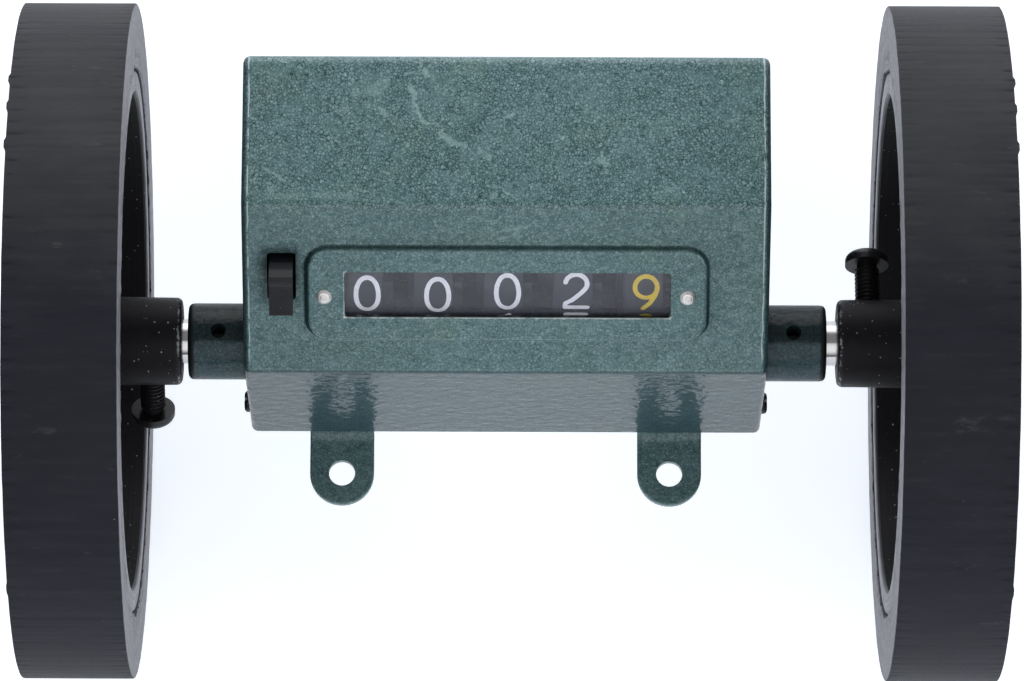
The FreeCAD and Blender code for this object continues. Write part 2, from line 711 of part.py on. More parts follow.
def heart(x0, x1, y, z, deg):
    """reset cam: a heart with its low point at deg"""
    pts = []
    n = 60
    rmin, rmax = 3.8, 7.0
    for k in range(n):
        a = -180 + 360.0 * k / n
        f = abs(a) / 180.0
        r = rmin + (rmax - rmin) * f
        if abs(a) < 12:
            r = rmin + (rmax - rmin) * 12 / 180.0
        ang = math.radians(a + deg)
        pts.append((y + r * math.cos(ang), z + r * math.sin(ang)))
    return prism_x(pts, x0, x1)


READING = [0, 0, 0, 2, 9]
for i, nm in enumerate(NAMES):
    xc = rim_x(i)
    a, b = xc - RIM_HALF, xc + RIM_HALF
    # rim, web and hub in one outline, open to the right
    hub_l, hub_r = xc - 5.38, xc + 5.38
    if i == 4:
        hub_r = gear_x0 - 0.02
    pts = [(hub_l, AXLE_R + RUN), (hub_l, 3.4), (a + 0.0, 3.4),
           (a, DRUM_R - 0.2), (a + 0.2, DRUM_R), (b - 0.2, DRUM_R),
           (b, DRUM_R - 0.2), (b, 10.9), (a + 1.4, 10.9), (a + 1.4, 3.4),
           (hub_r, 3.4), (hub_r, AXLE_R + RUN)]
    wv = revolve_x(pts)
    add = []
    if i < 4:
        # ring gear on the right of the rim
        gr = involute_gear(M_CARRY, N_RING, b - 1.2, b + 1.3,
                           -90 + 180.0 / N_RING, add=0.8, ded=1.2,
                           thin=0.25)
        gr = gr.cut(cyl(b - 2, b + 3, 7.4))
        disc = tube(b - 1.2, b + 0.0, 11.4, 7.4)
        add += [gr, disc]
        # web out to the ring gear
        add.append(tube(b - 1.2, b + 1.0, 7.6, 3.2))
    # carry disc with two teeth, and the reset cam, on the left
    if i > 0:
        car = cyl(a - 1.0, a + 0.5, 7.6)
        ph = -90 + 18.0
        t2 = []
        for da in (-9.0, 9.0):
            bx = box(a - 1.0, 6.5, -0.7, a + 0.5, 8.6, 0.7)
            t2.append(turned(bx, ph + da))
        add += [car] + t2
    add.append(heart(a - 2.25, a - 0.9 if i > 0 else a + 0.5, 0, 0,
                     150.0 - 36.0 * READING[i]))
    wv = wv.fuse(add).cut(cyl(xc - 8, xc + 8, AXLE_R + RUN))
    wv = wv.removeSplitter()
    wv.translate(V(0, AY, AZ))
    out(nm, shift(wv))

# drive gear of the units wheel
dg = involute_gear(M_DRIVE, N_GEAR, gear_x0, gear_x1, dir_ao, add=0.9,
                   ded=1.25, thin=0.12)
dg = dg.fuse(cyl(gear_x1 - 0.1, 27.9, 3.6)).cut(
    cyl(gear_x0 - 2, 29, AXLE_R + RUN))
for kk in range(5):
    h = cyl(gear_x0 - 1, gear_x1 + 1, 1.8, 7.0, 0)
    dg = dg.cut(turned(h, 72 * kk + 20))
dg = dg.removeSplitter()
dg.translate(V(0, AY, AZ))
out("units_drive_gear", shift(dg))

sp = [tube(-PLATE_X0 + 0.02, rim_x(0) - 5.38 - 0.1, 2.8, AXLE_R, AY, AZ),
      tube(27.9 + 0.1, PLATE_X0 - 0.02, 2.8, AXLE_R, AY, AZ)]
out("axle_spacers", shift(Part.makeCompound(sp)))

# carry pinions, one in each gap between two rims
for j in range(4):
    g0 = rim_x(j) + RIM_HALF
    g1 = rim_x(j + 1) - RIM_HALF
    p = involute_gear(M_CARRY, N_CARRY, g0 + 0.25, g1 - 0.25, 90.0,
                      add=0.8, ded=1.3, thin=0.25)
    p = p.cut(cyl(g0 - 1, g1 + 1, CARRY_AXLE_R + RUN))
    p.translate(V(0, CY, CZ))
    out("carry_pinion_%d" % (j + 1), shift(p))

# --------------------------------------------------------------------- reset
rod = revolve_x([(-37.4, 0), (-37.4, AXLE_R - 0.2), (-37.2, AXLE_R),
                 (PLATE_X1 + 0.05, AXLE_R), (PLATE_X1 + 0.05, 1.0),
                 (PLATE_X1 + 0.75, 1.0), (PLATE_X1 + 0.75, AXLE_R),
                 (31.2, AXLE_R), (31.4, AXLE_R - 0.2), (31.4, 0)],
                RESET_Y, RESET_Z)
out("reset_rod", shift(rod))

# hammers: one arm per number wheel, standing off its cam at rest
LEN_T = math.sqrt(14.9 ** 2 - 8.7 ** 2)
ang_full = 180.0 - math.degrees(math.acos(LEN_T / 14.9))
ang_rest = ang_full - LEVER_TRAVEL
hm = []
for i in range(5):
    a = rim_x(i) - RIM_HALF
    x0, x1 = a - 2.0, a - 1.15
    L = LEN_T
    arm = prism_x([(0, -1.3), (L + 0.9, -1.0), (L + 0.9, 1.2), (L - 1.2, 1.9),
                   (0, 2.2)], x0, x1)
    hub = cyl(x0, x1, 2.5)
    hmr = arm.fuse(hub).removeSplitter().cut(cyl(x0 - 1, x1 + 1, AXLE_R))
    hmr = turned(hmr, ang_rest)
    hmr.translate(V(0, RESET_Y, RESET_Z))
    hm.append(hmr)
out("reset_hammers", shift(Part.makeCompound(hm)))

# lever: hub on the rod, arm up to the slot, finger pad outside the face
lx0, lx1 = LEVER_X - LEVER_W / 2, LEVER_X + LEVER_W / 2


# the pad is drawn in (out, slope) coordinates of the display face
pad_out = [(13.15, 13.2), (14.2, 12.35), (14.7, 12.5), (14.85, 17.2),
           (14.95, 17.9), (15.55, 18.35), (15.55, 18.9), (14.9, 19.35),
           (13.6, 20.0), (12.2, 20.5), (9.0, 20.6), (4.5, 21.2),
           (0.5, 22.6), (-2.0, 24.2), (-3.2, 22.9), (0.0, 20.2),
           (4.0, 18.0), (9.0, 16.9), (12.0, 16.8), (12.9, 16.2),
           (13.0, 14.0)]
lever = prism_x([ds(d, s) for d, s in pad_out], lx0, lx1)
hub = cyl(lx0, lx1, 3.6, RESET_Y, RESET_Z)
p3, p4 = ds(0.5, 22.6), ds(0.0, 20.2)
arm = prism_x([p4, p3, (RESET_Y + 1.4, RESET_Z + 2.8),
               (RESET_Y - 3.4, RESET_Z - 3.0)], lx0, lx1)
# peg that the return spring bears on
peg = cyl(lx1 - 0.3, lx1 + 0.75, 0.55, RESET_Y - 3.84, RESET_Z - 1.48)
lever = lever.fuse([hub, arm, peg]).cut(cyl(lx0 - 1, lx1 + 1, AXLE_R, RESET_Y,
                                       RESET_Z)).removeSplitter()
try:
    ed = []
    for e in lever.Edges:
        b = e.BoundBox
        if b.XLength > 3 and b.YLength < 1e-4 and b.ZLength < 1e-4:
            d = -C45 * b.YMin + C45 * b.ZMin
            if d > 14.0:
                ed.append(e)
    l2 = lever.makeFillet(0.22, ed)
    if l2.isValid():
        lever = l2
except Exception as ex:
    print("lever edges left sharp", ex)
out("reset_lever", shift(lever))

rc = [ring(PLATE_X1 + 0.1, PLATE_X1 + 0.7, 1.0, 2.9, RESET_Y, RESET_Z,
           gap=1.9, deg=30)]
out("reset_rod_clip", shift(Part.makeCompound(rc)))


# return spring: a torsion spring round the rod between plate and lever
def spring():
    wr, R = 0.3, 2.35
    x0 = -PLATE_X1 - 0.85
    turns, pitch = 2.5, 0.62
    hx = Part.makeHelix(pitch, turns * pitch, R)
    # helix runs along Z; turn it to run along -X
    m = Placement(V(x0, RESET_Y, RESET_Z), Rotation(V(0, 0, 1), V(-1, 0, 0)))
    hx.Placement = m
    e0 = hx.Edges[0]
    p0 = e0.valueAt(e0.FirstParameter)
    t0 = e0.tangentAt(e0.FirstParameter)
    circ = Part.Wire(Part.Circle(p0, t0, wr).toShape())
    w = Part.Wire(hx.Edges)
    s = w.makePipeShell([circ], True, True)
    return s, w


sp1, spw = spring()
ends = [spw.Edges[0].valueAt(spw.Edges[0].FirstParameter),
        spw.Edges[-1].valueAt(spw.Edges[-1].LastParameter)]
tans = [spw.Edges[0].tangentAt(spw.Edges[0].FirstParameter),
        spw.Edges[-1].tangentAt(spw.Edges[-1].LastParameter)]
legs = [Part.makeCylinder(0.3, 8.5, ends[0], tans[0].multiply(-1)),
        Part.makeCylinder(0.3, 6.5, ends[1], tans[1])]
springs = fused([sp1] + legs)
out("reset_spring", shift(springs))
print("reset", RESET_Y, RESET_Z, "axle", AY, AZ, "carry", CY, CZ)
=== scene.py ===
import math

import bpy
import numpy as np
from mathutils import Matrix, Vector


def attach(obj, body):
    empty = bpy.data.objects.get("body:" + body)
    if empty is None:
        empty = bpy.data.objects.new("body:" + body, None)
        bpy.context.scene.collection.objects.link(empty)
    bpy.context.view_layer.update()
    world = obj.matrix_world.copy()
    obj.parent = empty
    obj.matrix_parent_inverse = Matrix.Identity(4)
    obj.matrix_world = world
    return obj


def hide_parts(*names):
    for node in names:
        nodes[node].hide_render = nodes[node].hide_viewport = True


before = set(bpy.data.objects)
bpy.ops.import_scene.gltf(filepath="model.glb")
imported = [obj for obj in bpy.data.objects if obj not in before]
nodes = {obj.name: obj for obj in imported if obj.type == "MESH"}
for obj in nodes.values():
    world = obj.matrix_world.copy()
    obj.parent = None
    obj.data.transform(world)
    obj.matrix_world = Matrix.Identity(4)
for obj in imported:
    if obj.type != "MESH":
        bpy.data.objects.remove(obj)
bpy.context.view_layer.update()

MM = 0.001
rng = np.random.default_rng(7)

# ------------------------------------------------------------------ the object
# millimetres, as in the part's source
XB = -0.8                       # middle of the counter body
C45 = math.sqrt(0.5)
TYRE_R, TYRE_IN, TYRE_OUT, TYRE_BORE = 53.05, 58.9, 76.3, 42.7
AXLE_Y, AXLE_Z = 12.1373, 8.8139
PITCH, RIM_OFF, DRUM_R = 10.85, -0.4, 12.1
D_PAD = 11.948                  # top of the raised pad, out from the shaft axis


def face(x, s, d):
    """a point on the tilted display face, from body X, slope and distance out, as a world point in metres"""
    return Vector(((x + XB) * MM, (-C45 * d + C45 * s) * MM, (C45 * d + C45 * s) * MM))


def lin(r, g, b):
    """linear colour from 0 to 255 display values"""
    out = []
    for c in (r, g, b):
        c = c / 255.0
        out.append(c / 12.92 if c <= 0.04045 else ((c + 0.055) / 1.055) ** 2.4)
    return (out[0], out[1], out[2], 1.0)


# --------------------------------------------------------------------- camera
ELEV = math.radians(73.5)
TO_CAM = Vector((0.0, -math.cos(ELEV), math.sin(ELEV)))
UP = Vector((0.0, math.sin(ELEV), math.cos(ELEV)))
DIST, FOCAL_PX = 1.050, 6678.0
PX = DIST / FOCAL_PX            # metres per pixel at the shaft
cam_data = bpy.data.cameras.new("camera")
cam_data.sensor_width = 36.0
cam_data.lens = FOCAL_PX * 36.0 / 1024.0
cam_data.clip_start, cam_data.clip_end = 0.05, 50.0
camera = bpy.data.objects.new("camera", cam_data)
bpy.context.scene.collection.objects.link(camera)
roll = Matrix.Rotation(math.radians(0.20), 3, "Z")
turn = Matrix((Vector((1, 0, 0)), UP, TO_CAM)).transposed() @ roll
camera.matrix_world = Matrix.Translation(
    TO_CAM * DIST + Vector((1.0, 0, 0)) * PX + UP * (1.9 * PX)
) @ turn.to_4x4()
bpy.context.scene.camera = camera


# ------------------------------------------------------------ material builder
class Mat:
    """one node material, written socket by socket"""

    def __init__(self, name):
        self.mat = bpy.data.materials.new(name)
        self.mat.use_nodes = True
        self.nt = self.mat.node_tree
        self.nt.nodes.clear()
        self.out = self.add("ShaderNodeOutputMaterial")
        self.p = self.add("ShaderNodeBsdfPrincipled")
        self.link(self.p.outputs[0], self.out.inputs[0])
        self.co = self.add("ShaderNodeTexCoord").outputs["Object"]
        sep = self.add("ShaderNodeSeparateXYZ")
        self.link(self.co, sep.inputs[0])
        self.x, self.y, self.z = sep.outputs

    def add(self, kind, **props):
        n = self.nt.nodes.new(kind)
        for k, v in props.items():
            setattr(n, k, v)
        return n

    def link(self, a, b):
        self.nt.links.new(a, b)

    def put(self, sock, v):
        if isinstance(v, bpy.types.NodeSocket):
            self.link(v, sock)
        else:
            sock.default_value = v

    def set(self, **kw):
        for k, v in kw.items():
            self.put(self.p.inputs[k.replace("_", " ")], v)

    def math(self, op, a, b=0.0, c=0.0, clamp=False):
        n = self.add("ShaderNodeMath", operation=op, use_clamp=clamp)
        self.put(n.inputs[0], a)
        self.put(n.inputs[1], b)
        self.put(n.inputs[2], c)
        return n.outputs[0]

    def vmath(self, op, a, b=(0, 0, 0), scale=1.0):
        n = self.add("ShaderNodeVectorMath", operation=op)
        self.put(n.inputs[0], a)
        if op != "SCALE":
            self.put(n.inputs[1], b)
        else:
            self.put(n.inputs["Scale"], scale)
        return n.outputs["Value"] if op in ("LENGTH", "DOT_PRODUCT", "DISTANCE") else n.outputs[0]

    def combine(self, x, y, z):
        n = self.add("ShaderNodeCombineXYZ")
        self.put(n.inputs[0], x)
        self.put(n.inputs[1], y)
        self.put(n.inputs[2], z)
        return n.outputs[0]

    def noise(self, scale, detail=2.0, rough=0.5, dist=0.0, vec=None, colour=False):
        n = self.add("ShaderNodeTexNoise")
        self.link(vec or self.co, n.inputs["Vector"])
        n.inputs["Scale"].default_value = scale
        n.inputs["Detail"].default_value = detail
        n.inputs["Roughness"].default_value = rough
        n.inputs["Distortion"].default_value = dist
        return n.outputs["Color" if colour else "Fac"]

    def voronoi(self, scale, feature="F1", vec=None, rand=1.0):
        n = self.add("ShaderNodeTexVoronoi", feature=feature)
        self.link(vec or self.co, n.inputs["Vector"])
        n.inputs["Scale"].default_value = scale
        n.inputs["Randomness"].default_value = rand
        return n

    def remap(self, v, a0, a1, b0=0.0, b1=1.0, smooth=True):
        n = self.add("ShaderNodeMapRange", interpolation_type="SMOOTHSTEP" if smooth else "LINEAR")
        self.put(n.inputs["Value"], v)
        n.inputs["From Min"].default_value = a0
        n.inputs["From Max"].default_value = a1
        n.inputs["To Min"].default_value = b0
        n.inputs["To Max"].default_value = b1
        return n.outputs["Result"]

    def ramp(self, fac, stops):
        n = self.add("ShaderNodeValToRGB")
        self.put(n.inputs[0], fac)
        el = n.color_ramp.elements
        while len(el) < len(stops):
            el.new(0.5)
        for e, (pos, col) in zip(el, stops):
            e.position = pos
            e.color = col
        return n.outputs[0]

    def mix(self, fac, a, b, blend="MIX"):
        n = self.add("ShaderNodeMix", data_type="RGBA", blend_type=blend)
        self.put(n.inputs[0], fac)
        self.put(n.inputs[6], a)
        self.put(n.inputs[7], b)
        return n.outputs[2]

    def fmix(self, fac, a, b):
        n = self.add("ShaderNodeMix", data_type="FLOAT")
        self.put(n.inputs[0], fac)
        self.put(n.inputs[2], a)
        self.put(n.inputs[3], b)
        return n.outputs[0]

    def bump(self, height, dist, strength=1.0, normal=None):
        n = self.add("ShaderNodeBump")
        self.put(n.inputs["Height"], height)
        n.inputs["Distance"].default_value = dist
        n.inputs["Strength"].default_value = strength
        if normal is not None:
            self.link(normal, n.inputs["Normal"])
        return n.outputs[0]

    def specks(self, scale, share, size, vec=None):
        """sparse round specks, 1 inside"""
        v = self.voronoi(scale, vec=vec)
        sep = self.add("ShaderNodeSeparateColor")
        self.link(v.outputs["Color"], sep.inputs[0])
        pick = self.remap(sep.outputs[0], 1.0 - share, 1.0 - share + 0.01)
        grow = self.remap(sep.outputs[1], 0.0, 1.0, 0.35, 1.0, smooth=False)
        d = self.math("DIVIDE", v.outputs["Distance"], grow)
        inside = self.remap(d, size * 0.7, size, 1.0, 0.0)
        return self.math("MULTIPLY", pick, inside)

    def stroke(self, a, b, width, vec):
        """soft mask of a line from a to b, in metres"""
        a, b = Vector(a), Vector(b)
        ba = b - a
        pa = self.vmath("SUBTRACT", vec, tuple(a))
        h = self.math("MULTIPLY", self.vmath("DOT_PRODUCT", pa, tuple(ba / ba.length_squared)), 1.0, clamp=True)
        v = self.add("ShaderNodeVectorMath", operation="SCALE")
        v.inputs[0].default_value = tuple(ba)
        self.link(h, v.inputs["Scale"])
        d = self.vmath("LENGTH", self.vmath("SUBTRACT", pa, v.outputs[0]))
        return self.remap(d, width * 0.5, width * 0.95, 1.0, 0.0)


def assign(mat, *names):
    for n in names:
        o = nodes[n]
        o.data.materials.clear()
        o.data.materials.append(mat)


# ------------------------------------------------------------ hammertone paint
ZT = 28.6


def on_face(kind, x, q):
    """a place on the flat top (t), the tilted face (s) or the raised pad (p), in metres"""
    if kind == "t":
        return Vector((x * MM, q * MM, ZT * MM))
    d = 10.748 if kind == "s" else 11.75
    return Vector((x * MM, C45 * (q - d) * MM, C45 * (q + d) * MM))


SCUFFS_AND_GLINTS = [  # face, from and to in millimetres on that face, width, strength
    ("t", -15.8, 32.5, -15.0, 31.4, 0.95, 0.95), ("t", -15.3, 30.4, -14.5, 28.6, 0.55, 1.00),
    ("t", -15.0, 31.4, -15.1, 30.2, 0.50, 0.70), ("t", -14.5, 28.6, -14.1, 27.6, 0.42, 0.90),
    ("t", -14.0, 27.3, -13.0, 26.7, 0.60, 0.80), ("t", -13.0, 26.7, -11.3, 26.5, 0.42, 0.65),
    ("t", -10.9, 25.2, -9.1, 23.6, 0.95, 0.75), ("t", -9.1, 23.6, -7.1, 23.3, 0.70, 0.60),
    ("t", -13.6, 35.5, -13.0, 34.5, 0.70, 0.85), ("t", -20.2, 29.1, -19.3, 28.1, 0.85, 0.60),
    ("t", -1.1, 27.5, 0.3, 28.3, 0.36, 0.85), ("t", 0.3, 26.0, 1.1, 24.4, 0.32, 0.50),
    ("t", -4.9, 22.3, -3.4, 21.3, 0.80, 0.55), ("t", -11.1, 21.8, -10.5, 21.8, 0.30, 0.70),
    ("t", -38.2, 19.5, -35.2, 17.4, 0.45, 0.70), ("t", 13.9, 22.1, 14.6, 18.9, 0.40, 0.80),
    ("t", 13.4, 20.8, 15.2, 19.9, 0.42, 0.60), ("t", -1.4, 16.0, 0.9, 14.4, 0.36, 0.75),
    ("t", -3.7, 16.6, -1.4, 16.5, 0.40, 0.50), ("t", -3.2, 14.8, -2.3, 15.3, 0.70, 0.55),
    ("t", 21.7, 15.5, 25.4, 16.5, 0.45, 0.50), ("t", -21.5, 31.9, -19.6, 33.3, 1.70, 0.40),
    ("t", -24.3, 31.5, -23.9, 31.4, 1.20, 0.45), ("t", -25.9, 28.9, -25.6, 28.9, 1.00, 0.40),
    ("t", -37.4, 15.0, -32.4, 14.8, 1.00, 0.30), ("t", -30.0, 15.0, -24.8, 14.7, 0.90, 0.34),
    ("t", -37.2, 16.0, -36.5, 16.3, 0.80, 0.50), ("t", 10.5, 35.3, 11.3, 34.5, 0.34, 0.85),
    ("t", -16.5, 35.0, -12.2, 34.8, 0.40, 0.45), ("t", -15.3, 27.6, -15.4, 30.6, 0.40, 0.30),
    ("t", 1.1, 36.1, 2.6, 35.6, 0.30, 0.60), ("t", 17.7, 27.6, 19.0, 28.5, 0.40, 0.45),
    ("t", 29.2, 31.9, 30.4, 30.7, 0.35, 0.50), ("s", -2.2, 25.2, 2.9, 26.2, 0.50, 0.55),
    ("s", -6.3, 28.1, 1.4, 25.2, 0.28, 0.40), ("s", 7.5, 26.2, 19.9, 26.9, 0.24, 0.25),
    # the four p strokes at the pad's two top corners are painted glints, not scuffs
    ("s", -1.7, 24.1, 1.4, 24.5, 0.40, 0.40), ("p", -31.1, 20.8, -30.8, 21.7, 0.34, 0.95),
    ("p", -30.8, 21.7, -30.1, 22.0, 0.30, 0.80), ("p", 28.8, 21.9, 29.4, 21.2, 0.36, 0.95),
    ("p", 29.4, 21.2, 29.6, 20.3, 0.34, 0.80),
]


def hammertone(name, scuffs_and_glints=(), window=False, gain=1.0, coat=0.52, front_shade=0.0, boss=False):
    m = Mat(name)
    # cells of about half a millimetre, pulled out of round, with dark lines between them
    warp = m.noise(2100.0, 1.0, 0.5, colour=True)
    warp = m.vmath("SCALE", m.vmath("SUBTRACT", warp, (0.5, 0.5, 0.5)), scale=0.00052)
    pos = m.vmath("ADD", m.co, warp)
    edge = m.voronoi(2000.0, "DISTANCE_TO_EDGE", pos).outputs["Distance"]
    rim = m.remap(edge, 0.03, 0.21, 1.0, 0.0)
    cell = m.voronoi(2000.0, "F1", pos)
    sep = m.add("ShaderNodeSeparateColor")
    m.link(cell.outputs["Color"], sep.inputs[0])
    tone = sep.outputs[0]
    # larger round blisters here and there, each with a dark ring
    blis = m.voronoi(860.0, "F1", m.vmath("ADD", m.co, m.vmath("SCALE", warp, scale=0.4)))
    bsep = m.add("ShaderNodeSeparateColor")
    m.link(blis.outputs["Color"], bsep.inputs[0])
    pick = m.remap(bsep.outputs[0], 0.67, 0.71)
    size = m.math("MULTIPLY_ADD", bsep.outputs[1], 0.16, 0.22)
    bd = m.math("DIVIDE", blis.outputs["Distance"], size)
    blob = m.math("MULTIPLY", pick, m.remap(bd, 0.8, 1.0, 1.0, 0.0))
    ring = m.math("MULTIPLY", pick, m.math("MULTIPLY", m.remap(bd, 0.9, 1.1), m.remap(bd, 1.1, 1.5, 1.0, 0.0)))
    fine = m.noise(3600.0, 2.0, 0.6)
    patch = m.remap(m.noise(300.0, 2.0, 0.55), 0.33, 0.56)
    broad = m.noise(42.0, 2.0, 0.5)
    hue = m.noise(88.0, 2.0, 0.55)
    tilt = m.remap(m.y, 0.0138, 0.0124)
    calm = m.math("MULTIPLY_ADD", tilt, -0.42, 1.0)
    t = m.math("MULTIPLY_ADD", tone, 0.20, m.math("MULTIPLY_ADD", tilt, -0.035, 0.492))
    t = m.math("SUBTRACT", t, m.math("MULTIPLY", m.math("MULTIPLY", rim, calm), m.fmix(patch, 0.24, 0.38)))
    t = m.math("ADD", t, m.math("MULTIPLY", m.math("MULTIPLY", blob, calm), 0.17))
    t = m.math("SUBTRACT", t, m.math("MULTIPLY", m.math("MULTIPLY", ring, calm), 0.20))
    t = m.math("ADD", t, m.math("MULTIPLY_ADD", fine, 0.74, -0.37))
    t = m.math("ADD", t, m.math("MULTIPLY_ADD", broad, 0.16, -0.08), clamp=True)
    g = gain
    col = m.ramp(t, [
        (0.0, (0.018 * g, 0.040 * g, 0.043 * g, 1)), (0.20, (0.052 * g, 0.105 * g, 0.110 * g, 1)),
        (0.44, (0.103 * g, 0.182 * g, 0.190 * g, 1)), (1.0, (0.29 * g, 0.42 * g, 0.43 * g, 1))])
    olive = m.mix(m.remap(hue, 0.52, 0.72, 0.0, 0.35), col,
                  m.mix(1.0, col, (1.12, 1.03, 0.80, 1), "MULTIPLY"))
    col = olive
    rough = m.math("MULTIPLY_ADD", fine, 0.20, 0.30)
    metal = None
    if scuffs_and_glints:
        wob = m.noise(1100.0, 3.0, 0.6, colour=True)
        wob = m.vmath("SCALE", m.vmath("SUBTRACT", wob, (0.5, 0.5, 0.5)), scale=0.0012)
        p2 = m.vmath("ADD", m.co, wob)
        total = None
        for kind, x0, y0, x1, y1, w, k in scuffs_and_glints:
            s = m.math("MULTIPLY", m.stroke(on_face(kind, x0, y0), on_face(kind, x1, y1), w * 0.72 * MM, p2), k)
            total = s if total is None else m.math("MAXIMUM", total, s)
        # pale chalk of the scuffs, which also paints the glints at the pad's corners
        chalk_and_glint = m.math("MULTIPLY", total, m.remap(m.noise(2300.0, 2.0, 0.6), 0.30, 0.62, 0.35, 1.0))
        col = m.mix(chalk_and_glint, col, (0.25, 0.37, 0.37, 1))
        rough = m.math("ADD", rough, m.math("MULTIPLY", chalk_and_glint, 0.25))
        # a few pale rub marks too faint to be lines
        rub = m.remap(m.noise(160.0, 3.0, 0.65, vec=m.vmath("MULTIPLY", m.co, (1.0, 0.45, 0.45))), 0.66, 0.80, 0.0, 0.35)
        col = m.mix(rub, col, (0.26, 0.36, 0.36, 1))
    if window:
        # chipped edge of the window: bare sheet on its left and lower sides
        x = m.math("SUBTRACT", m.x, (0.25 + XB) * MM)
        s = m.math("SUBTRACT", m.math("MULTIPLY", m.math("ADD", m.y, m.z), C45), 14.75 * MM)
        jag = m.math("MULTIPLY_ADD", m.noise(2600.0, 3.0, 0.65), 0.00052, -0.00026)
        left = m.math("SUBTRACT", m.math("MULTIPLY", x, -1.0), 25.25 * MM)
        low = m.math("SUBTRACT", m.math("MULTIPLY", s, -1.0), 3.95 * MM)
        high = m.math("SUBTRACT", s, 3.95 * MM)
        right = m.math("SUBTRACT", x, 25.25 * MM)
        out_of = m.math("MAXIMUM", m.math("MAXIMUM", left, low), m.math("MAXIMUM", right, high))
        near = m.remap(m.math("ADD", out_of, jag), 0.00006, 0.00020, 1.0, 0.0)
        side = m.math("MAXIMUM", m.remap(low, -0.0004, -0.0001), m.remap(left, -0.0004, -0.0001))
        chips = m.remap(m.noise(520.0, 3.0, 0.7), 0.40, 0.50, 0.25, 1.0)
        d = m.math("MULTIPLY", m.math("SUBTRACT", m.z, m.y), C45)
        on = m.remap(d, 0.01162, 0.01182)
        bare = m.math("MULTIPLY", m.math("MULTIPLY", near, side), m.math("MULTIPLY", chips, on))
        col = m.mix(bare, col, (0.50, 0.56, 0.55, 1))
        metal = m.math("MULTIPLY", bare, 0.55)
        # painted shade: the cut faces of the sheet inside the window are made near black
        cut_face_shade = m.math("MULTIPLY", m.remap(m.math("ABSOLUTE", out_of), 0.00006, 0.00012, 1.0, 0.0), m.remap(d, 0.01160, 0.01178, 1.0, 0.0))
        cut_face_shade = m.math("MULTIPLY", cut_face_shade, m.remap(d, 0.0084, 0.0088))
        col = m.mix(cut_face_shade, col, (0.012, 0.016, 0.017, 1))
        # painted shade: the flanks of the pad, the step round it, are made darker and broken up by noise
        step = m.math("MULTIPLY", m.remap(d, 0.01080, 0.01100), m.remap(d, 0.01160, 0.01185, 1.0, 0.0))
        step = m.math("MULTIPLY", step, m.remap(out_of, 0.0008, 0.0014))
        step = m.math("MULTIPLY", step, m.remap(m.noise(700.0, 2.0, 0.6), 0.2, 0.7, 0.75, 1.0))
        col = m.mix(step, col, m.mix(1.0, col, (0.42, 0.50, 0.50, 1), "MULTIPLY"))
        # painted shade: dark lines along the pad's outline, heaviest on its left side
        bx = m.math("SUBTRACT", m.x, (0.15 + XB) * MM)
        bs = m.math("SUBTRACT", m.math("MULTIPLY", m.math("ADD", m.y, m.z), C45), 14.6 * MM)
        ex = m.math("SUBTRACT", m.math("ABSOLUTE", bx), (31.1 - 3.6) * MM)
        es = m.math("SUBTRACT", m.math("ABSOLUTE", bs), (8.1 - 3.6) * MM)
        corner = m.vmath("LENGTH", m.combine(m.math("MAXIMUM", ex, 0.0), m.math("MAXIMUM", es, 0.0), 0.0))
        sdf = m.math("SUBTRACT", m.math("ADD", corner, m.math("MINIMUM", m.math("MAXIMUM", ex, es), 0.0)), 3.6 * MM)
        sdf = m.math("ADD", sdf, m.math("MULTIPLY_ADD", m.noise(900.0, 2.0, 0.6), 0.00016, -0.00008))
        ridge = m.math("MULTIPLY", m.remap(sdf, -0.00030, -0.00010), m.remap(sdf, 0.00010, 0.00036, 1.0, 0.0))
        wide = m.math("MULTIPLY", m.remap(sdf, -0.00070, -0.00025), m.remap(sdf, 0.0001, 0.0005, 1.0, 0.0))
        wide = m.math("MULTIPLY", wide, m.remap(bx, -0.0296, -0.0304))
        groove = m.math("MULTIPLY", m.math("MAXIMUM", m.math("MULTIPLY", ridge, m.remap(bs, -0.007, 0.007, 1.0, 0.45)), wide), m.remap(d, 0.0100, 0.0104))
        col = m.mix(groove, col, m.mix(1.0, col, (0.20, 0.27, 0.29, 1), "MULTIPLY"))
        # painted shade: a dark line along the pad's lower edge
        under_pad_shade = m.remap(m.math("ABSOLUTE", m.math("ADD", bs, 8.12 * MM)), 0.00008, 0.00034, 1.0, 0.0)
        under_pad_shade = m.math("MULTIPLY", under_pad_shade, m.remap(m.math("ABSOLUTE", bx), 0.0280, 0.0302, 0.62, 0.0))
        under_pad_shade = m.math("MULTIPLY", under_pad_shade, m.remap(d, 0.0100, 0.0104))
        col = m.mix(under_pad_shade, col, (0.018, 0.036, 0.040, 1))
        # painted shade round the lever slot, darkest above it and fading outwards
        lx = m.math("SUBTRACT", m.math("ABSOLUTE", m.math("SUBTRACT", m.x, (-34.725 + XB) * MM)), 2.225 * MM)
        ls = m.math("SUBTRACT", m.math("ABSOLUTE", m.math("SUBTRACT", bs, 2.75 * MM)), 4.05 * MM)
        ring2 = m.vmath("LENGTH", m.combine(m.math("MAXIMUM", lx, 0.0), m.math("MAXIMUM", ls, 0.0), 0.0))
        ring2 = m.math("ADD", ring2, m.math("MULTIPLY_ADD", m.noise(800.0, 2.0, 0.6), 0.0005, -0.00025))
        slot_shade = m.math("MULTIPLY", m.remap(ring2, 0.0, 0.0021, 1.0, 0.0), m.remap(bs, -0.001, 0.0060, 0.45, 1.0))
        slot_shade = m.math("MULTIPLY", slot_shade, m.remap(m.x, (-32.6 + XB) * MM, (-31.8 + XB) * MM, 1.0, 0.25))
        col = m.mix(m.math("MULTIPLY", slot_shade, m.remap(d, 0.0095, 0.0102)), col, m.mix(1.0, col, (0.16, 0.24, 0.26, 1), "MULTIPLY"))
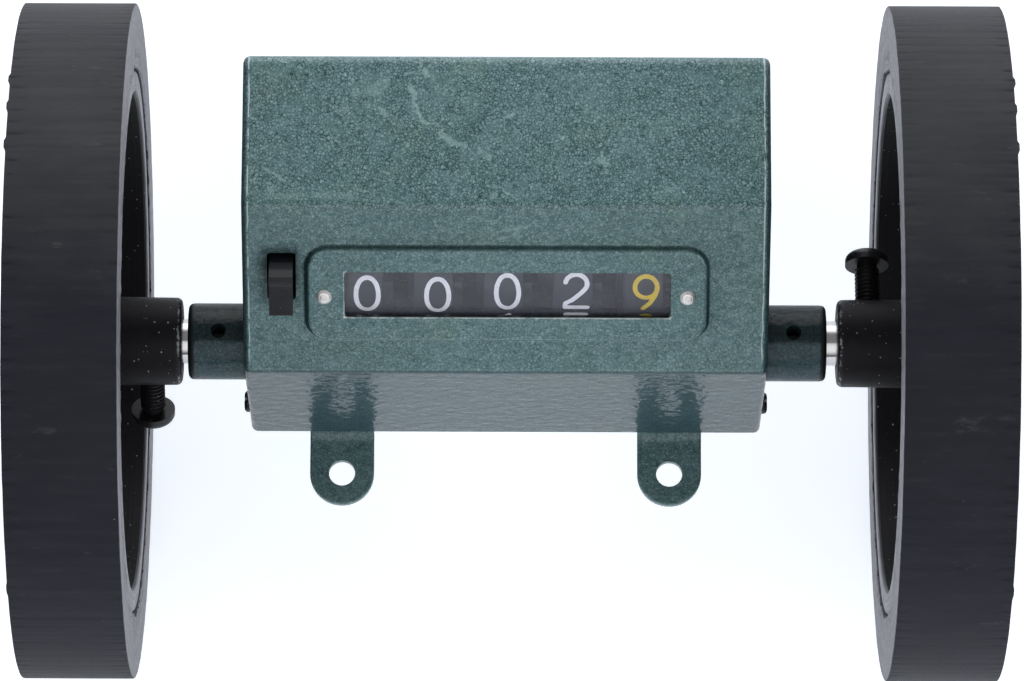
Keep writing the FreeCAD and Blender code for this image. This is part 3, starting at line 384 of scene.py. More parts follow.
        # painted shade: the side folds are darkened where they turn away
        turn_x = m.remap(m.math("ABSOLUTE", m.math("SUBTRACT", m.x, XB * MM)), 0.04000, 0.04035)
        col = m.mix(m.math("MULTIPLY", turn_x, 0.9), col, m.mix(1.0, col, (0.30, 0.36, 0.38, 1), "MULTIPLY"))
        # painted highlight: a thin broken pale line along the long edges of the two side folds, standing in for a
        # glint on their rounding
        side_x = m.math("ABSOLUTE", m.math("SUBTRACT", m.x, XB * MM))
        wavy = m.math("MULTIPLY_ADD", m.noise(300.0, 3.0, 0.6), 0.0005, -0.00025)
        line = m.remap(m.math("ABSOLUTE", m.math("ADD", m.math("SUBTRACT", side_x, 0.03985), wavy)), 0.00004, 0.00016, 1.0, 0.0)
        line = m.math("MULTIPLY", line, m.remap(m.noise(430.0, 3.0, 0.65), 0.34, 0.50))
        line = m.math("MULTIPLY", line, m.remap(m.z, 0.0086, 0.0102))
        col = m.mix(m.math("MULTIPLY", line, 0.85), col, (0.50, 0.60, 0.62, 1))
    h = m.math("MULTIPLY_ADD", rim, -0.5, m.math("MULTIPLY", tone, 0.30))
    h = m.math("ADD", h, m.math("MULTIPLY", m.noise(420.0, 2.0, 0.5), 1.6))
    nrm = m.bump(h, 0.000030, 0.85)
    # painted shade: the upright front made darker
    front = m.remap(m.y, -0.00690, -0.00715)
    col = m.mix(m.math("MULTIPLY", front, front_shade), col, m.mix(1.0, col, (0.16, 0.26, 0.31, 1), "MULTIPLY"))
    if boss:
        # painted shade and reflection: darker on the upper half, lighter and bluer on the lower half
        low = m.remap(m.math("ADD", m.math("MULTIPLY", m.y, -0.959), m.math("MULTIPLY", m.z, -0.284)), -0.0004, 0.0004)
        col = m.mix(low, m.mix(1.0, col, (0.50, 0.62, 0.66, 1), "MULTIPLY"), m.mix(1.0, col, (1.5, 1.65, 1.85, 1), "MULTIPLY"))
    m.set(Base_Color=col, Roughness=rough, Normal=nrm, Specular_IOR_Level=0.03,
          Coat_Weight=coat, Coat_Roughness=0.075, Coat_IOR=1.5)
    soft = m.bump(m.math("ADD", m.noise(640.0, 1.5, 0.45), m.math("MULTIPLY", tone, 0.04)), 0.00021, 1.0)
    m.put(m.p.inputs["Coat Normal"], soft)
    if metal is not None:
        m.set(Metallic=metal)
    return m.mat


housing_paint = hammertone("hammertone_cover", SCUFFS_AND_GLINTS, window=True, front_shade=0.9)
# painted shade: the base plate and its feet take the cover's paint made darker, for the shade under the housing
base_paint = hammertone("hammertone_base", gain=0.80)
# painted shade: the bosses take the cover's paint made far darker
boss_paint = hammertone("hammertone_boss", gain=0.22, coat=0.30, boss=True)
assign(housing_paint, "housing")
assign(base_paint, "base_plate")
assign(boss_paint, "bearing_boss_left", "bearing_boss_right")


# --------------------------------------------------------------- black plastic
def black_plastic(name, base, rough, dust=0.5, grain=0.00002, turned=False, dust_share=0.12, spec=0.3):
    m = Mat(name)
    n1 = m.noise(700.0, 3.0, 0.6)
    n2 = m.noise(90.0, 2.0, 0.5)
    b = base
    col = m.ramp(m.math("MULTIPLY_ADD", n1, 0.6, m.math("MULTIPLY", n2, 0.4)), [
        (0.25, (b[0] * 0.7, b[1] * 0.7, b[2] * 0.72, 1)), (0.75, (b[0] * 1.4, b[1] * 1.35, b[2] * 1.4, 1))])
    dots = m.specks(900.0, min(1.0, dust_share * 3.0), 0.15)
    dots2 = m.specks(1500.0, dust_share, 0.16)
    haze = m.remap(m.noise(240.0, 4.0, 0.7), 0.55, 0.85, 0.0, 0.05 * dust)
    col = m.mix(m.math("MULTIPLY", m.math("MAXIMUM", dots, m.math("MULTIPLY", dots2, 0.6)), dust, clamp=True),
                col, (0.40, 0.40, 0.38, 1))
    col = m.mix(haze, col, (0.18, 0.18, 0.20, 1))
    if turned:
        r = m.vmath("LENGTH", m.combine(0.0, m.y, m.z))
        ax = m.math("ABSOLUTE", m.x)
        off = m.math("ABSOLUTE", m.math("SUBTRACT", ax, 0.0676))
        rimface = m.math("MULTIPLY", m.remap(off, 0.00815, 0.00835), m.remap(r, 0.0386, 0.0389))
        ang = m.math("ARCTAN2", m.z, m.y)
        swirl = m.noise(1.0, 4.0, 0.7, vec=m.combine(m.math("MULTIPLY", r, 2600.0), m.math("MULTIPLY", ang, 5.0), 1.0))
        pale = m.ramp(swirl, [(0.30, (0.10, 0.10, 0.115, 1)), (0.55, (0.24, 0.24, 0.27, 1)), (0.75, (0.36, 0.36, 0.39, 1))])
        col = m.mix(rimface, col, pale)
        # hub ends: the mould edge rubbed light in places
        left = m.math("SUBTRACT", m.math("MULTIPLY", m.x, -1.0), 0.0516)
        right = m.math("SUBTRACT", m.x, 0.05115)
        end = m.math("ABSOLUTE", m.math("SUBTRACT", m.math("MINIMUM", m.math("ABSOLUTE", left), m.math("ABSOLUTE", right)), 0.00042))
        chip = m.math("MULTIPLY", m.remap(m.math("ADD", end, m.math("MULTIPLY_ADD", m.noise(1700.0, 3.0, 0.6), 0.0008, -0.0004)), 0.00005, 0.00022, 1.0, 0.0),
                      m.remap(r, 0.0060, 0.0064))
        chip = m.math("MULTIPLY", chip, m.remap(m.noise(900.0, 3.0, 0.7), 0.44, 0.56))
        col = m.mix(m.math("MULTIPLY", chip, 0.7), col, (0.30, 0.31, 0.31, 1))
    rg = m.math("MULTIPLY_ADD", n1, 0.22, rough - 0.11)
    rg = m.math("ADD", rg, m.math("MULTIPLY_ADD", n2, 0.16, -0.08))
    h = m.noise(2600.0, 3.0, 0.6)
    if turned:
        r = m.vmath("LENGTH", m.combine(0.0, m.y, m.z))
        rings = m.noise(1900.0, 3.0, 0.65, vec=m.combine(m.x, r, 0.0))
        h = m.math("ADD", m.math("MULTIPLY", h, 0.5), rings)
    m.set(Base_Color=col, Roughness=rg, Normal=m.bump(h, grain, 0.9), Specular_IOR_Level=spec)
    return m.mat


wheel_black = black_plastic("moulded_wheel_black", (0.0090, 0.0088, 0.0110), 0.46, 0.80, 0.000030, turned=True, dust_share=0.22, spec=0.13)
lever_black = black_plastic("lever_black", (0.0105, 0.0115, 0.0140), 0.34, 0.5, 0.000010, dust_share=0.05, spec=0.30)
steel_black = black_plastic("black_oxide", (0.0085, 0.0088, 0.0098), 0.36, 0.55, 0.000014, dust_share=0.10, spec=0.35)
bush_dark = black_plastic("sintered_bush", (0.0085, 0.0120, 0.0125), 0.45, 0.15, 0.000025, dust_share=0.03, spec=0.2)
assign(wheel_black, "wheel_left", "wheel_right")
assign(lever_black, "reset_lever")
assign(steel_black, "hub_screws", "side_screws", "rear_screws", "axle_clips", "shaft_retaining_rings",
       "reset_rod_clip")
assign(bush_dark, "bearing_bush_left", "bearing_bush_right")


# ---------------------------------------------------------------- bare metals
def metal(name, base, rough, lines=None, stain=(0.5, 0.5, 0.5, 1), stain_amount=0.25, bump=0.000004, oiled=False):
    """lines: 'x' turned about the X axis, 'sheet' rolled sheet, None plain"""
    m = Mat(name)
    if lines == "x":
        r = m.vmath("LENGTH", m.combine(0.0, m.y, m.z))
        streak = m.noise(5200.0, 3.0, 0.6, vec=m.combine(m.x, m.math("MULTIPLY", r, 0.2), 0.0))
    elif lines == "sheet":
        streak = m.noise(1500.0, 3.0, 0.6, vec=m.vmath("MULTIPLY", m.co, (0.08, 1.0, 1.0)))
    else:
        streak = m.noise(2200.0, 3.0, 0.6)
    blot = m.noise(160.0, 3.0, 0.6)
    col = m.ramp(m.math("MULTIPLY_ADD", streak, 0.6, m.math("MULTIPLY", blot, 0.4)), [
        (0.2, (base[0] * 0.72, base[1] * 0.72, base[2] * 0.72, 1)), (0.8, (*base, 1))])
    col = m.mix(m.remap(blot, 0.55, 0.75, 0.0, stain_amount), col, stain)
    rg = m.math("MULTIPLY_ADD", streak, 0.18, rough - 0.09)
    rg = m.math("ADD", rg, m.remap(blot, 0.3, 0.75, -0.04, 0.10))
    if oiled:
        far = m.math("ABSOLUTE", m.math("SUBTRACT", m.math("ABSOLUTE", m.math("SUBTRACT", m.x, XB * MM)), 0.0450))
        col = m.mix(m.remap(far, 0.0018, 0.0026, 1.0, 0.0), col, (0.012, 0.012, 0.012, 1))
    m.set(Base_Color=col, Metallic=1.0, Roughness=rg, Normal=m.bump(streak, bump, 0.8))
    return m.mat


shaft_steel = metal("ground_shaft_steel", (0.58, 0.57, 0.58), 0.15, "x", (0.45, 0.40, 0.36, 1), 0.25, oiled=True)
zinc = metal("zinc_plated_sheet", (0.62, 0.63, 0.66), 0.36, "sheet", (0.50, 0.52, 0.46, 1), 0.35)
brass = metal("machined_brass", (0.80, 0.58, 0.25), 0.28, "x", (0.45, 0.27, 0.12, 1), 0.35)
spring_steel = metal("spring_wire", (0.60, 0.60, 0.62), 0.30, None, (0.30, 0.26, 0.24, 1), 0.3)
assign(shaft_steel, "drive_shaft", "number_wheel_axle", "carry_pinion_axle", "reset_rod")
assign(zinc, "counter_frame", "reset_hammers", "frame_screws")
assign(brass, "axle_spacers", "thrust_washers")
assign(spring_steel, "reset_spring")


# rivets: bright, with the ring left by the setting tool and a duller middle
def rivet_metal():
    m = Mat("rivet_aluminium")
    d = None
    for sx in (-1, 1):
        c = face(sx * 28.15, 14.4, D_PAD + 0.6)
        k = m.vmath("DISTANCE", m.co, tuple(c))
        d = k if d is None else m.math("MINIMUM", d, k)
    n1 = m.noise(3000.0, 3.0, 0.6)
    n2 = m.noise(900.0, 2.0, 0.6)
    ring = m.math("SINE", m.math("MULTIPLY", m.math("ADD", d, m.math("MULTIPLY", n2, 0.00012)), 15500.0))
    mid = m.remap(m.math("ADD", d, m.math("MULTIPLY", n2, 0.0002)), 0.00045, 0.0007, 1.0, 0.0)
    rim = m.remap(d, 0.0009, 0.00135)
    col = m.ramp(n1, [(0.3, (0.62, 0.61, 0.60, 1)), (0.7, (0.86, 0.85, 0.84, 1))])
    col = m.mix(m.math("MULTIPLY", mid, 0.45), col, (0.52, 0.50, 0.48, 1))
    col = m.mix(m.math("MULTIPLY", rim, 0.5), col, (0.42, 0.42, 0.43, 1))
    h = m.math("ADD", m.math("MULTIPLY", ring, 0.22), m.math("ADD", n2, m.math("MULTIPLY", n1, 0.35)))
    m.set(Base_Color=col, Metallic=1.0, Roughness=m.math("MULTIPLY_ADD", n1, 0.2, 0.38),
          Normal=m.bump(h, 0.00008, 0.8))
    return m.mat


assign(rivet_metal(), "window_rivets")


# ---------------------------------------------------------- number wheel drums
def drum_plastic():
    m = Mat("number_wheel_plastic")
    n1 = m.noise(1300.0, 3.0, 0.6)
    n2 = m.noise(140.0, 2.0, 0.5)
    col = m.ramp(m.math("MULTIPLY_ADD", n1, 0.5, m.math("MULTIPLY", n2, 0.5)), [
        (0.25, (0.017, 0.020, 0.030, 1)), (0.75, (0.027, 0.030, 0.043, 1))])
    # faint moulding marks on the drums
    box = m.remap(m.voronoi(420.0, "F1", m.vmath("MULTIPLY", m.co, (1.0, 0.7, 0.7))).outputs["Distance"], 0.42, 0.50, 0.0, 0.16)
    col = m.mix(box, col, (0.06, 0.065, 0.08, 1))
    dots = m.specks(800.0, 0.05, 0.09)
    col = m.mix(dots, col, (0.40, 0.40, 0.42, 1))
    m.set(Base_Color=col, Roughness=m.math("MULTIPLY_ADD", n1, 0.2, 0.40), Normal=m.bump(n1, 0.000015, 0.7))
    return m.mat


assign(drum_plastic(), "units_wheel", "tens_wheel", "hundreds_wheel", "thousands_wheel", "ten_thousands_wheel",
       "units_drive_gear", "carry_pinion_1", "carry_pinion_2", "carry_pinion_3", "carry_pinion_4")


def ink(name, light, dark, painted_glow):
    m = Mat(name)
    n1 = m.noise(2600.0, 3.0, 0.65)
    n2 = m.noise(700.0, 2.0, 0.5)
    t = m.math("MULTIPLY_ADD", n1, 0.55, m.math("MULTIPLY", n2, 0.45))
    col = m.ramp(t, [(0.30, dark), (0.55, light), (1.0, light)])
    m.set(Base_Color=col, Roughness=m.math("MULTIPLY_ADD", n1, 0.2, 0.45), Normal=m.bump(n1, 0.00002, 0.7))
    # painted light: the numerals glow a little, brighter than their lighting makes them
    m.p.inputs["Emission Color"].default_value = light
    m.p.inputs["Emission Strength"].default_value = painted_glow
    return m.mat


white_ink = ink("numeral_white", (0.90, 0.90, 0.96, 1), (0.72, 0.72, 0.79, 1), 0.26)
yellow_ink = ink("numeral_yellow", (0.84, 0.62, 0.020, 1), (0.60, 0.42, 0.015, 1), 0.16)

# plain numerals as strokes in a box 4.2 mm wide and 6.7 mm high
DIG_W, DIG_H, STROKE = 4.2, 6.7, 0.73
HX, HY = (DIG_W - STROKE) / 2, (DIG_H - STROKE) / 2


def arc(cx, cy, rx, ry, a0, a1, n=22, power=2.0):
    pts = []
    for i in range(n + 1):
        a = math.radians(a0 + (a1 - a0) * i / n)
        c, s = math.cos(a), math.sin(a)
        e = 2.0 / power
        pts.append((cx + rx * math.copysign(abs(c) ** e, c), cy + ry * math.copysign(abs(s) ** e, s)))
    return pts


GLYPH = {
    0: [arc(0, 0, HX, HY, 0, 360, 44, 2.15)],
    1: [[(-0.95, HY - 0.95), (0.25, HY), (0.25, -HY)]],
    2: [arc(0, HY - 1.55, HX - 0.05, 1.55, 170, -32, 26) + [(HX - 0.95, -0.15), (-0.55, -1.45)]
        + arc(-0.45, -HY + 0.62, 1.25, 0.62, 150, 180, 4) + [(-HX, -HY), (HX, -HY)]],
    3: [[(-HX + 0.15, HY), (HX - 0.2, HY), (-0.1, 0.75)] + arc(-0.1, -1.03, HX + 0.05, 1.78, 90, -145, 30)],
    4: [[(0.75, -HY), (0.75, HY), (-HX, -1.0), (HX, -1.0)]],
    5: [[(HX - 0.2, HY), (-HX + 0.35, HY), (-HX + 0.15, 0.45)] + arc(-0.1, -0.95, HX + 0.05, 1.86, 125, -145, 30)],
    6: [arc(0, -HY + 1.85, HX, 1.85, 0, 360, 36),
        [(0.45, HY)] + [(-0.55, HY - 1.35), (-1.3, HY - 2.6), (-HX + 0.02, -HY + 2.2)]],
    7: [[(-HX, HY), (HX, HY), (-0.55, -HY)]],
    8: [arc(0, HY - 1.38, HX - 0.3, 1.38, 0, 360, 32), arc(0, -HY + 1.60, HX, 1.60, 0, 360, 36)],
    9: [arc(0, HY - 1.85, HX, 1.85, 0, 360, 36),
        [(HX - 0.02, HY - 2.2), (1.35, -HY + 2.55), (0.62, -HY + 1.2), (-0.45, -HY + 0.05)]],
}


def glyph_cells(k, step=0.15):
    """polygons that fill a numeral: grid cells clipped where the distance to its strokes passes half a stroke"""
    segs = []
    for line in GLYPH[k]:
        segs += [(line[i], line[i + 1]) for i in range(len(line) - 1)]
    a = np.array([s[0] for s in segs])
    b = np.array([s[1] for s in segs])
    xs = np.arange(-DIG_W / 2 - 0.3, DIG_W / 2 + 0.31, step)
    ys = np.arange(-DIG_H / 2 - 0.3, DIG_H / 2 + 0.31, step)
    gx, gy = np.meshgrid(xs, ys, indexing="ij")
    p = np.stack([gx, gy], -1)[:, :, None, :]
    ba = (b - a)[None, None]
    h = np.clip(((p - a) * ba).sum(-1) / np.maximum((ba * ba).sum(-1), 1e-9), 0, 1)
    dist = np.linalg.norm(p - a - ba * h[..., None], axis=-1).min(-1)
    wob = 0.022 * np.sin(gx * 9.1 + k * 2.3) * np.cos(gy * 7.3 + k)
    val = dist - STROKE / 2 + wob
    polys = []
    for i in range(len(xs) - 1):
        for j in range(len(ys) - 1):
            corners = [(i, j), (i + 1, j), (i + 1, j + 1), (i, j + 1)]
            v = [val[c] for c in corners]
            if min(v) >= 0:
                continue
            poly = []
            for q in range(4):
                c0, c1 = corners[q], corners[(q + 1) % 4]
                v0, v1 = v[q], v[(q + 1) % 4]
                if v0 < 0:
                    poly.append((xs[c0[0]], ys[c0[1]]))
                if (v0 < 0) != (v1 < 0):
                    t = v0 / (v0 - v1)
                    t = min(max(t, 0.02), 0.98)
                    poly.append((xs[c0[0]] + (xs[c1[0]] - xs[c0[0]]) * t,
                                 ys[c0[1]] + (ys[c1[1]] - ys[c0[1]]) * t))
            if len(poly) >= 3:
                polys.append(poly)
    return polys


CELLS = {k: glyph_cells(k) for k in range(10)}
READING = [("ten_thousands", 0, 140.8, 0.58), ("thousands", 0, 141.8, 0.66), ("hundreds", 0, 138.7, 0.63),
           ("tens", 2, 137.9, 0.43), ("units", 9, 139.15, 0.41)]


def numerals(index):
    body, reading, centre, dx = READING[index]
    xc = XB + RIM_OFF + (index - 2) * PITCH + dx
    low, top = DRUM_R - 0.03, DRUM_R + 0.035
    verts, faces, at = [], [], {}

    def vert(x, ang, r):
        key = (round(x, 4), round(ang, 4), r)
        if key not in at:
            at[key] = len(verts)
            a = math.radians(ang)
            verts.append((x * MM, (AXLE_Y + r * math.cos(a)) * MM, (AXLE_Z + r * math.sin(a)) * MM))
        return at[key]

    for k in range(10):
        base = centre + 36.0 * (k - reading)
        edges = {}
        for poly in CELLS[k]:
            up, down = [], []
            for x, y in poly:
                ang = base - math.degrees(y / DRUM_R)
                up.append(vert(xc + x, ang, top))
                down.append(vert(xc + x, ang, low))
            faces.append(tuple(up))
            faces.append(tuple(reversed(down)))
            for q in range(len(up)):
                e = (up[q], up[(q + 1) % len(up)])
                lower = (down[q], down[(q + 1) % len(up)])
                if (e[1], e[0]) in edges:
                    del edges[(e[1], e[0])]
                else:
                    edges[e] = lower
        for (u0, u1), (d0, d1) in edges.items():
            faces.append((u0, d0, d1, u1))
    me = bpy.data.meshes.new(body + "_numerals")
    me.from_pydata(verts, [], faces)
    me.validate()
    me.update()
    me.materials.append(yellow_ink if body == "units" else white_ink)
    o = bpy.data.objects.new(body + "_numerals", me)
    bpy.context.scene.collection.objects.link(o)
    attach(o, body)
    return o


for i in range(5):
    numerals(i)


# ----------------------------------------------------------------- clear window
def clear_sheet():
    m = Mat("clear_window_sheet")
    haze = m.noise(300.0, 3.0, 0.6)
    dots = m.specks(700.0, 0.10, 0.10)
    # the bluish diffuse film is partly dust on the sheet and partly a painted reflection that lifts the dark drums
    # behind it
    film = m.math("ADD", m.remap(haze, 0.35, 0.75, 0.050, 0.071), m.math("MULTIPLY", dots, 0.30))
    clear = m.add("ShaderNodeBsdfTransparent")
    clear.inputs[0].default_value = (0.965, 0.97, 0.985, 1)
    dust = m.add("ShaderNodeBsdfDiffuse")
    m.put(dust.inputs[0], m.ramp(haze, [(0.3, (0.42, 0.46, 0.60, 1)), (0.7, (0.50, 0.54, 0.68, 1))]))
    gloss = m.add("ShaderNodeBsdfGlossy")
    gloss.inputs[0].default_value = (1, 1, 1, 1)
    m.put(gloss.inputs["Roughness"], m.math("MULTIPLY_ADD", haze, 0.10, 0.06))
    fres = m.add("ShaderNodeFresnel")
    fres.inputs["IOR"].default_value = 1.46
    m.put(fres.inputs["Normal"], m.bump(haze, 0.00002, 0.5))
    a = m.add("ShaderNodeMixShader")
    m.put(a.inputs[0], film)
    m.link(clear.outputs[0], a.inputs[1])
    m.link(dust.outputs[0], a.inputs[2])
    b = m.add("ShaderNodeMixShader")
    m.put(b.inputs[0], m.math("MULTIPLY", fres.outputs[0], 0.8))
    m.link(a.outputs[0], b.inputs[1])
    m.link(gloss.outputs[0], b.inputs[2])
    m.nt.nodes.remove(m.p)
    m.link(b.outputs[0], m.out.inputs[0])
    return m.mat


assign(clear_sheet(), "window_lens")


# ------------------------------------------------------------------------ tyres
def rubber():
    m = Mat("tyre_rubber")
    r = m.vmath("LENGTH", m.combine(0.0, m.y, m.z))
    ang = m.math("ARCTAN2", m.z, m.y)
    side = m.remap(m.math("ABSOLUTE", m.math("SUBTRACT", m.math("ABSOLUTE", m.x), 0.0676)), 0.0084, 0.00868)
    side = m.math("MULTIPLY", side, m.remap(r, 0.05278, 0.05294, 1.0, 0.0))
    grain = m.noise(2400.0, 3.0, 0.6)
    blot = m.noise(75.0, 3.0, 0.55)
    # bands along the tread lines, wide across the tyre and short round it
    band = m.noise(1.0, 3.0, 0.6, vec=m.combine(m.math("MULTIPLY", m.x, 60.0), m.math("MULTIPLY", ang, 26.0), 3.0))
    col = m.ramp(m.math("MULTIPLY_ADD", blot, 0.55, m.math("MULTIPLY", band, 0.45)), [
        (0.30, (0.018, 0.019, 0.024, 1)), (0.50, (0.026, 0.027, 0.031, 1)), (0.72, (0.040, 0.040, 0.043, 1))])
    col = m.mix(m.math("MULTIPLY_ADD", grain, 0.5, -0.12, clamp=True), col, (0.033, 0.033, 0.038, 1))
    # painted shade: the front half of the tread is darker and bluer
    front = m.remap(m.y, 0.009, -0.014)
    col = m.mix(front, col, m.mix(1.0, col, (0.52, 0.55, 0.68, 1), "MULTIPLY"))
    # the tread lines hold dirt at their ends and are worn away in the middle
    saw = m.math("MULTIPLY", m.math("ABSOLUTE", m.math("SUBTRACT", m.math("FRACT", m.math("MULTIPLY", ang, 138.0 / (2 * math.pi))), 0.5)), 2.0)
    ax = m.math("ABSOLUTE", m.x)
    wear = m.noise(1.0, 2.0, 0.6, vec=m.combine(m.math("MULTIPLY", m.x, 260.0), m.math("MULTIPLY", ang, 22.0), 7.0))
    outer = m.math("MULTIPLY", m.remap(ax, 0.0728, 0.0758), m.remap(wear, 0.35, 0.60))
    inner = m.math("MULTIPLY", m.remap(ax, 0.0612, 0.0592, 0.0, 0.6), m.remap(wear, 0.45, 0.65))
    some = m.remap(wear, 0.45, 0.75, 0.03, 0.30)
    hold = m.math("MAXIMUM", m.math("MAXIMUM", outer, inner), some)
    col = m.mix(m.math("MULTIPLY", m.math("MULTIPLY", m.remap(saw, 0.60, 0.95), hold), 0.75), col, (0.008, 0.008, 0.011, 1))
    col = m.mix(m.math("MULTIPLY", m.math("MULTIPLY", m.remap(saw, 0.40, 0.10), some), 0.35), col, (0.058, 0.058, 0.062, 1))
    scuff = m.remap(m.noise(190.0, 4.0, 0.7, vec=m.vmath("MULTIPLY", m.co, (0.5, 1.4, 1.4))), 0.62, 0.78, 0.0, 0.35)
    col = m.mix(scuff, col, (0.105, 0.105, 0.11, 1))
    dots = m.math("MAXIMUM", m.specks(160.0, 0.16, 0.035), m.specks(420.0, 0.05, 0.055))
    col = m.mix(m.math("MULTIPLY", dots, 0.75), col, (0.34, 0.34, 0.33, 1))
    rings = m.noise(1400.0, 4.0, 0.65, vec=m.combine(m.math("MULTIPLY", r, 1.0), m.math("MULTIPLY", ang, 0.0012), 0.0))
    # the pale side faces are partly mould rings and grain, partly a painted reflection of the bright surroundings seen
    # at grazing
    sidecol = m.ramp(m.math("MULTIPLY_ADD", rings, 0.6, m.math("MULTIPLY", grain, 0.4)), [
        (0.25, (0.12, 0.12, 0.135, 1)), (0.50, (0.21, 0.21, 0.235, 1)), (0.75, (0.32, 0.315, 0.345, 1))])
    mottle = m.noise(1.0, 4.0, 0.7, vec=m.combine(m.math("MULTIPLY", r, 900.0), m.math("MULTIPLY", ang, 30.0), m.x))
    sidecol = m.mix(m.remap(mottle, 0.40, 0.66, 0.65, 0.0), sidecol, (0.085, 0.085, 0.10, 1))
    # slits and flash where the rubber meets the rim
    slit = m.noise(1.0, 3.0, 0.6, vec=m.combine(m.math("MULTIPLY", r, 1100.0), m.math("MULTIPLY", ang, 9.0), 5.0))
    slit = m.math("MULTIPLY", m.remap(slit, 0.54, 0.60), m.remap(r, 0.0440, 0.0478, 1.0, 0.0))
    sidecol = m.mix(slit, sidecol, (0.010, 0.010, 0.013, 1))
    nick = m.math("MULTIPLY", m.remap(r, 0.05235, 0.05285), m.remap(saw, 0.45, 0.9))
    sidecol = m.mix(m.math("MULTIPLY", nick, 0.7), sidecol, (0.02, 0.02, 0.025, 1))
    col = m.mix(side, col, sidecol)
    h = m.math("MULTIPLY_ADD", grain, 0.6, m.math("MULTIPLY", m.math("MULTIPLY", rings, side), 1.4))
    rough = m.math("MULTIPLY_ADD", grain, 0.18, m.math("MULTIPLY_ADD", blot, 0.16, m.fmix(side, 0.43, 0.30)))
    m.set(Base_Color=col, Roughness=rough, Normal=m.bump(h, 0.00004, 0.8), Specular_IOR_Level=0.13)
    return m.mat


RUBBER = rubber()


def smooth_noise(n, count, seed, lo=0.0, hi=1.0):
    """periodic value noise at n places from count random values"""
    g = np.random.default_rng(seed).random(count)
    t = np.arange(n) / n * count
    i = np.floor(t).astype(int)
    f = t - i
    f = f * f * (3 - 2 * f)
    return lo + (hi - lo) * (g[i % count] * (1 - f) + g[(i + 1) % count] * f)


def tyre(side):
    """rubber band with fine lines across the tread, mould rings and a ragged edge at the rim"""
    sx = -1 if side == "left" else 1
    seed = 11 if side == "left" else 23
    lines, sub = 138, 8
    n = lines * sub
    g = np.random.default_rng(seed)
    depth = np.repeat(g.uniform(0.35, 1.0, lines), sub)
    tooth = np.tile(np.array([1.0, 0.45, 0.08, 0.10, 0.34, 0.12, 0.05, 0.42]), lines)
    groove = tooth * depth * 0.075
    run = smooth_noise(n, 23, seed + 1, -0.045, 0.045) + smooth_noise(n, 71, seed + 2, -0.02, 0.02)
    # profile: (distance from the inner side face, radius, share of tread lines, share of side marks, gap share)
    w = TYRE_OUT - TYRE_IN
    prof = [(0.9, TYRE_BORE + 0.02, 0, 0), (0.35, TYRE_BORE + 0.06, 0, 0.5), (0.04, TYRE_BORE + 0.16, 0, 1.0),
            (0.0, TYRE_BORE + 0.55, 0, 0.25), (0.05, 45.0, 0, 0), (0.0, 45.3, 0, 0), (0.0, 47.8, 0, 0),
            (0.04, 48.0, 0, 0), (0.0, 48.3, 0, 0), (0.0, 51.0, 0, 0), (0.0, 52.5, 0.1, 0),
            (0.02, 52.88, 0.5, 0), (0.10, 53.0, 1, 0)]
    mid = [(v, TYRE_R, 1, 0) for v in (0.3, 0.9, 2.0, 3.6, 5.4, 7.2, w / 2)]
    half = prof + mid
    other = [(w - v, r, a, b) for v, r, a, b in reversed(half[:-1])]
    prof = half + other
    m = len(prof)
    gap = [np.clip(smooth_noise(n, 90, seed + 5 + k, -0.30, 0.55), 0, None)
           + np.clip(smooth_noise(n, 260, seed + 9 + k, -0.5, 0.35), 0, None) for k in range(2)]
    ang = 2 * np.pi * np.arange(n) / n
    verts = np.zeros((m, n, 3))
    across = smooth_noise(n, 40, seed + 13, -1, 1)
    for k, (v, r, a, b) in enumerate(prof):
        which = 0 if k < m / 2 else 1
        rr = np.full(n, float(r))
        # a worn tread line is a little shallower here and there across the tyre
        fade = 1.0 - 0.55 * np.clip(smooth_noise(n, 33, seed + 40 + k, -0.6, 1.0), 0, 1)
        worn = 1.8 if min(v, w - v) < 0.95 else (0.8 if min(v, w - v) < 2.1 else 0.42)
        rr -= a * groove * fade * worn
        rr += a * run * 0.6
        rr += b * gap[which]
        rr = np.minimum(rr, TYRE_R)
        xx = np.full(n, float(v))
        if b:
            xx += np.clip(smooth_noise(n, 150, seed + 60 + which, -0.4, 0.35), 0, None) * b * (-1 if which == 0 else 1) * 0.35
        if a == 0.5 or a == 0.1:
            xx += smooth_noise(n, 120, seed + 70 + which, -0.02, 0.02)
        x = TYRE_IN + xx
        verts[k, :, 0] = sx * x * MM
        verts[k, :, 1] = rr * np.cos(ang) * MM
        verts[k, :, 2] = rr * np.sin(ang) * MM
    # nibs of rubber left at the outer edge
    kk = m - 1 - 12
    for a0, length, h in ((58, 4, 0.36), (64.5, 4, 0.32), (72.5, 4, 0.36), (152, 5, 0.22), (20, 4, 0.20), (250, 6, 0.25),
                          (300, 5, 0.3), (214, 5, 0.24)):
        c = int(a0 / 360.0 * n)
        for d in range(-length, length + 1):
            f = 0.5 + 0.5 * math.cos(math.pi * d / (length + 1))
            for q, s in ((kk, 1.0), (kk + 1, 0.7), (kk - 1, 0.5)):
                verts[q, (c + d) % n, 0] += sx * h * min(1.0, f * 1.6) * s * MM
    idx = np.arange(m * n).reshape(m, n)
    faces = []
    for k in range(m):
        k2 = (k + 1) % m
        a_, b_ = idx[k], idx[k2]
        a2, b2 = np.roll(a_, -1), np.roll(b_, -1)
        quad = np.stack([a_, b_, b2, a2], -1) if sx > 0 else np.stack([a_, a2, b2, b_], -1)
        faces += [tuple(int(q) for q in f) for f in quad]
    me = bpy.data.meshes.new("tyre_%s_rubber" % side)
    me.from_pydata(verts.reshape(-1, 3).tolist(), [], faces)
    me.update()
    me.validate()
    me.materials.append(RUBBER)
    me.polygons.foreach_set("use_smooth", np.ones(len(me.polygons), bool))
    me.set_sharp_from_angle(angle=math.radians(38))
    o = bpy.data.objects.new("tyre_%s_rubber" % side, me)
    bpy.context.scene.collection.objects.link(o)
    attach(o, "wheels_and_shaft")
    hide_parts("tyre_" + side)
    return o


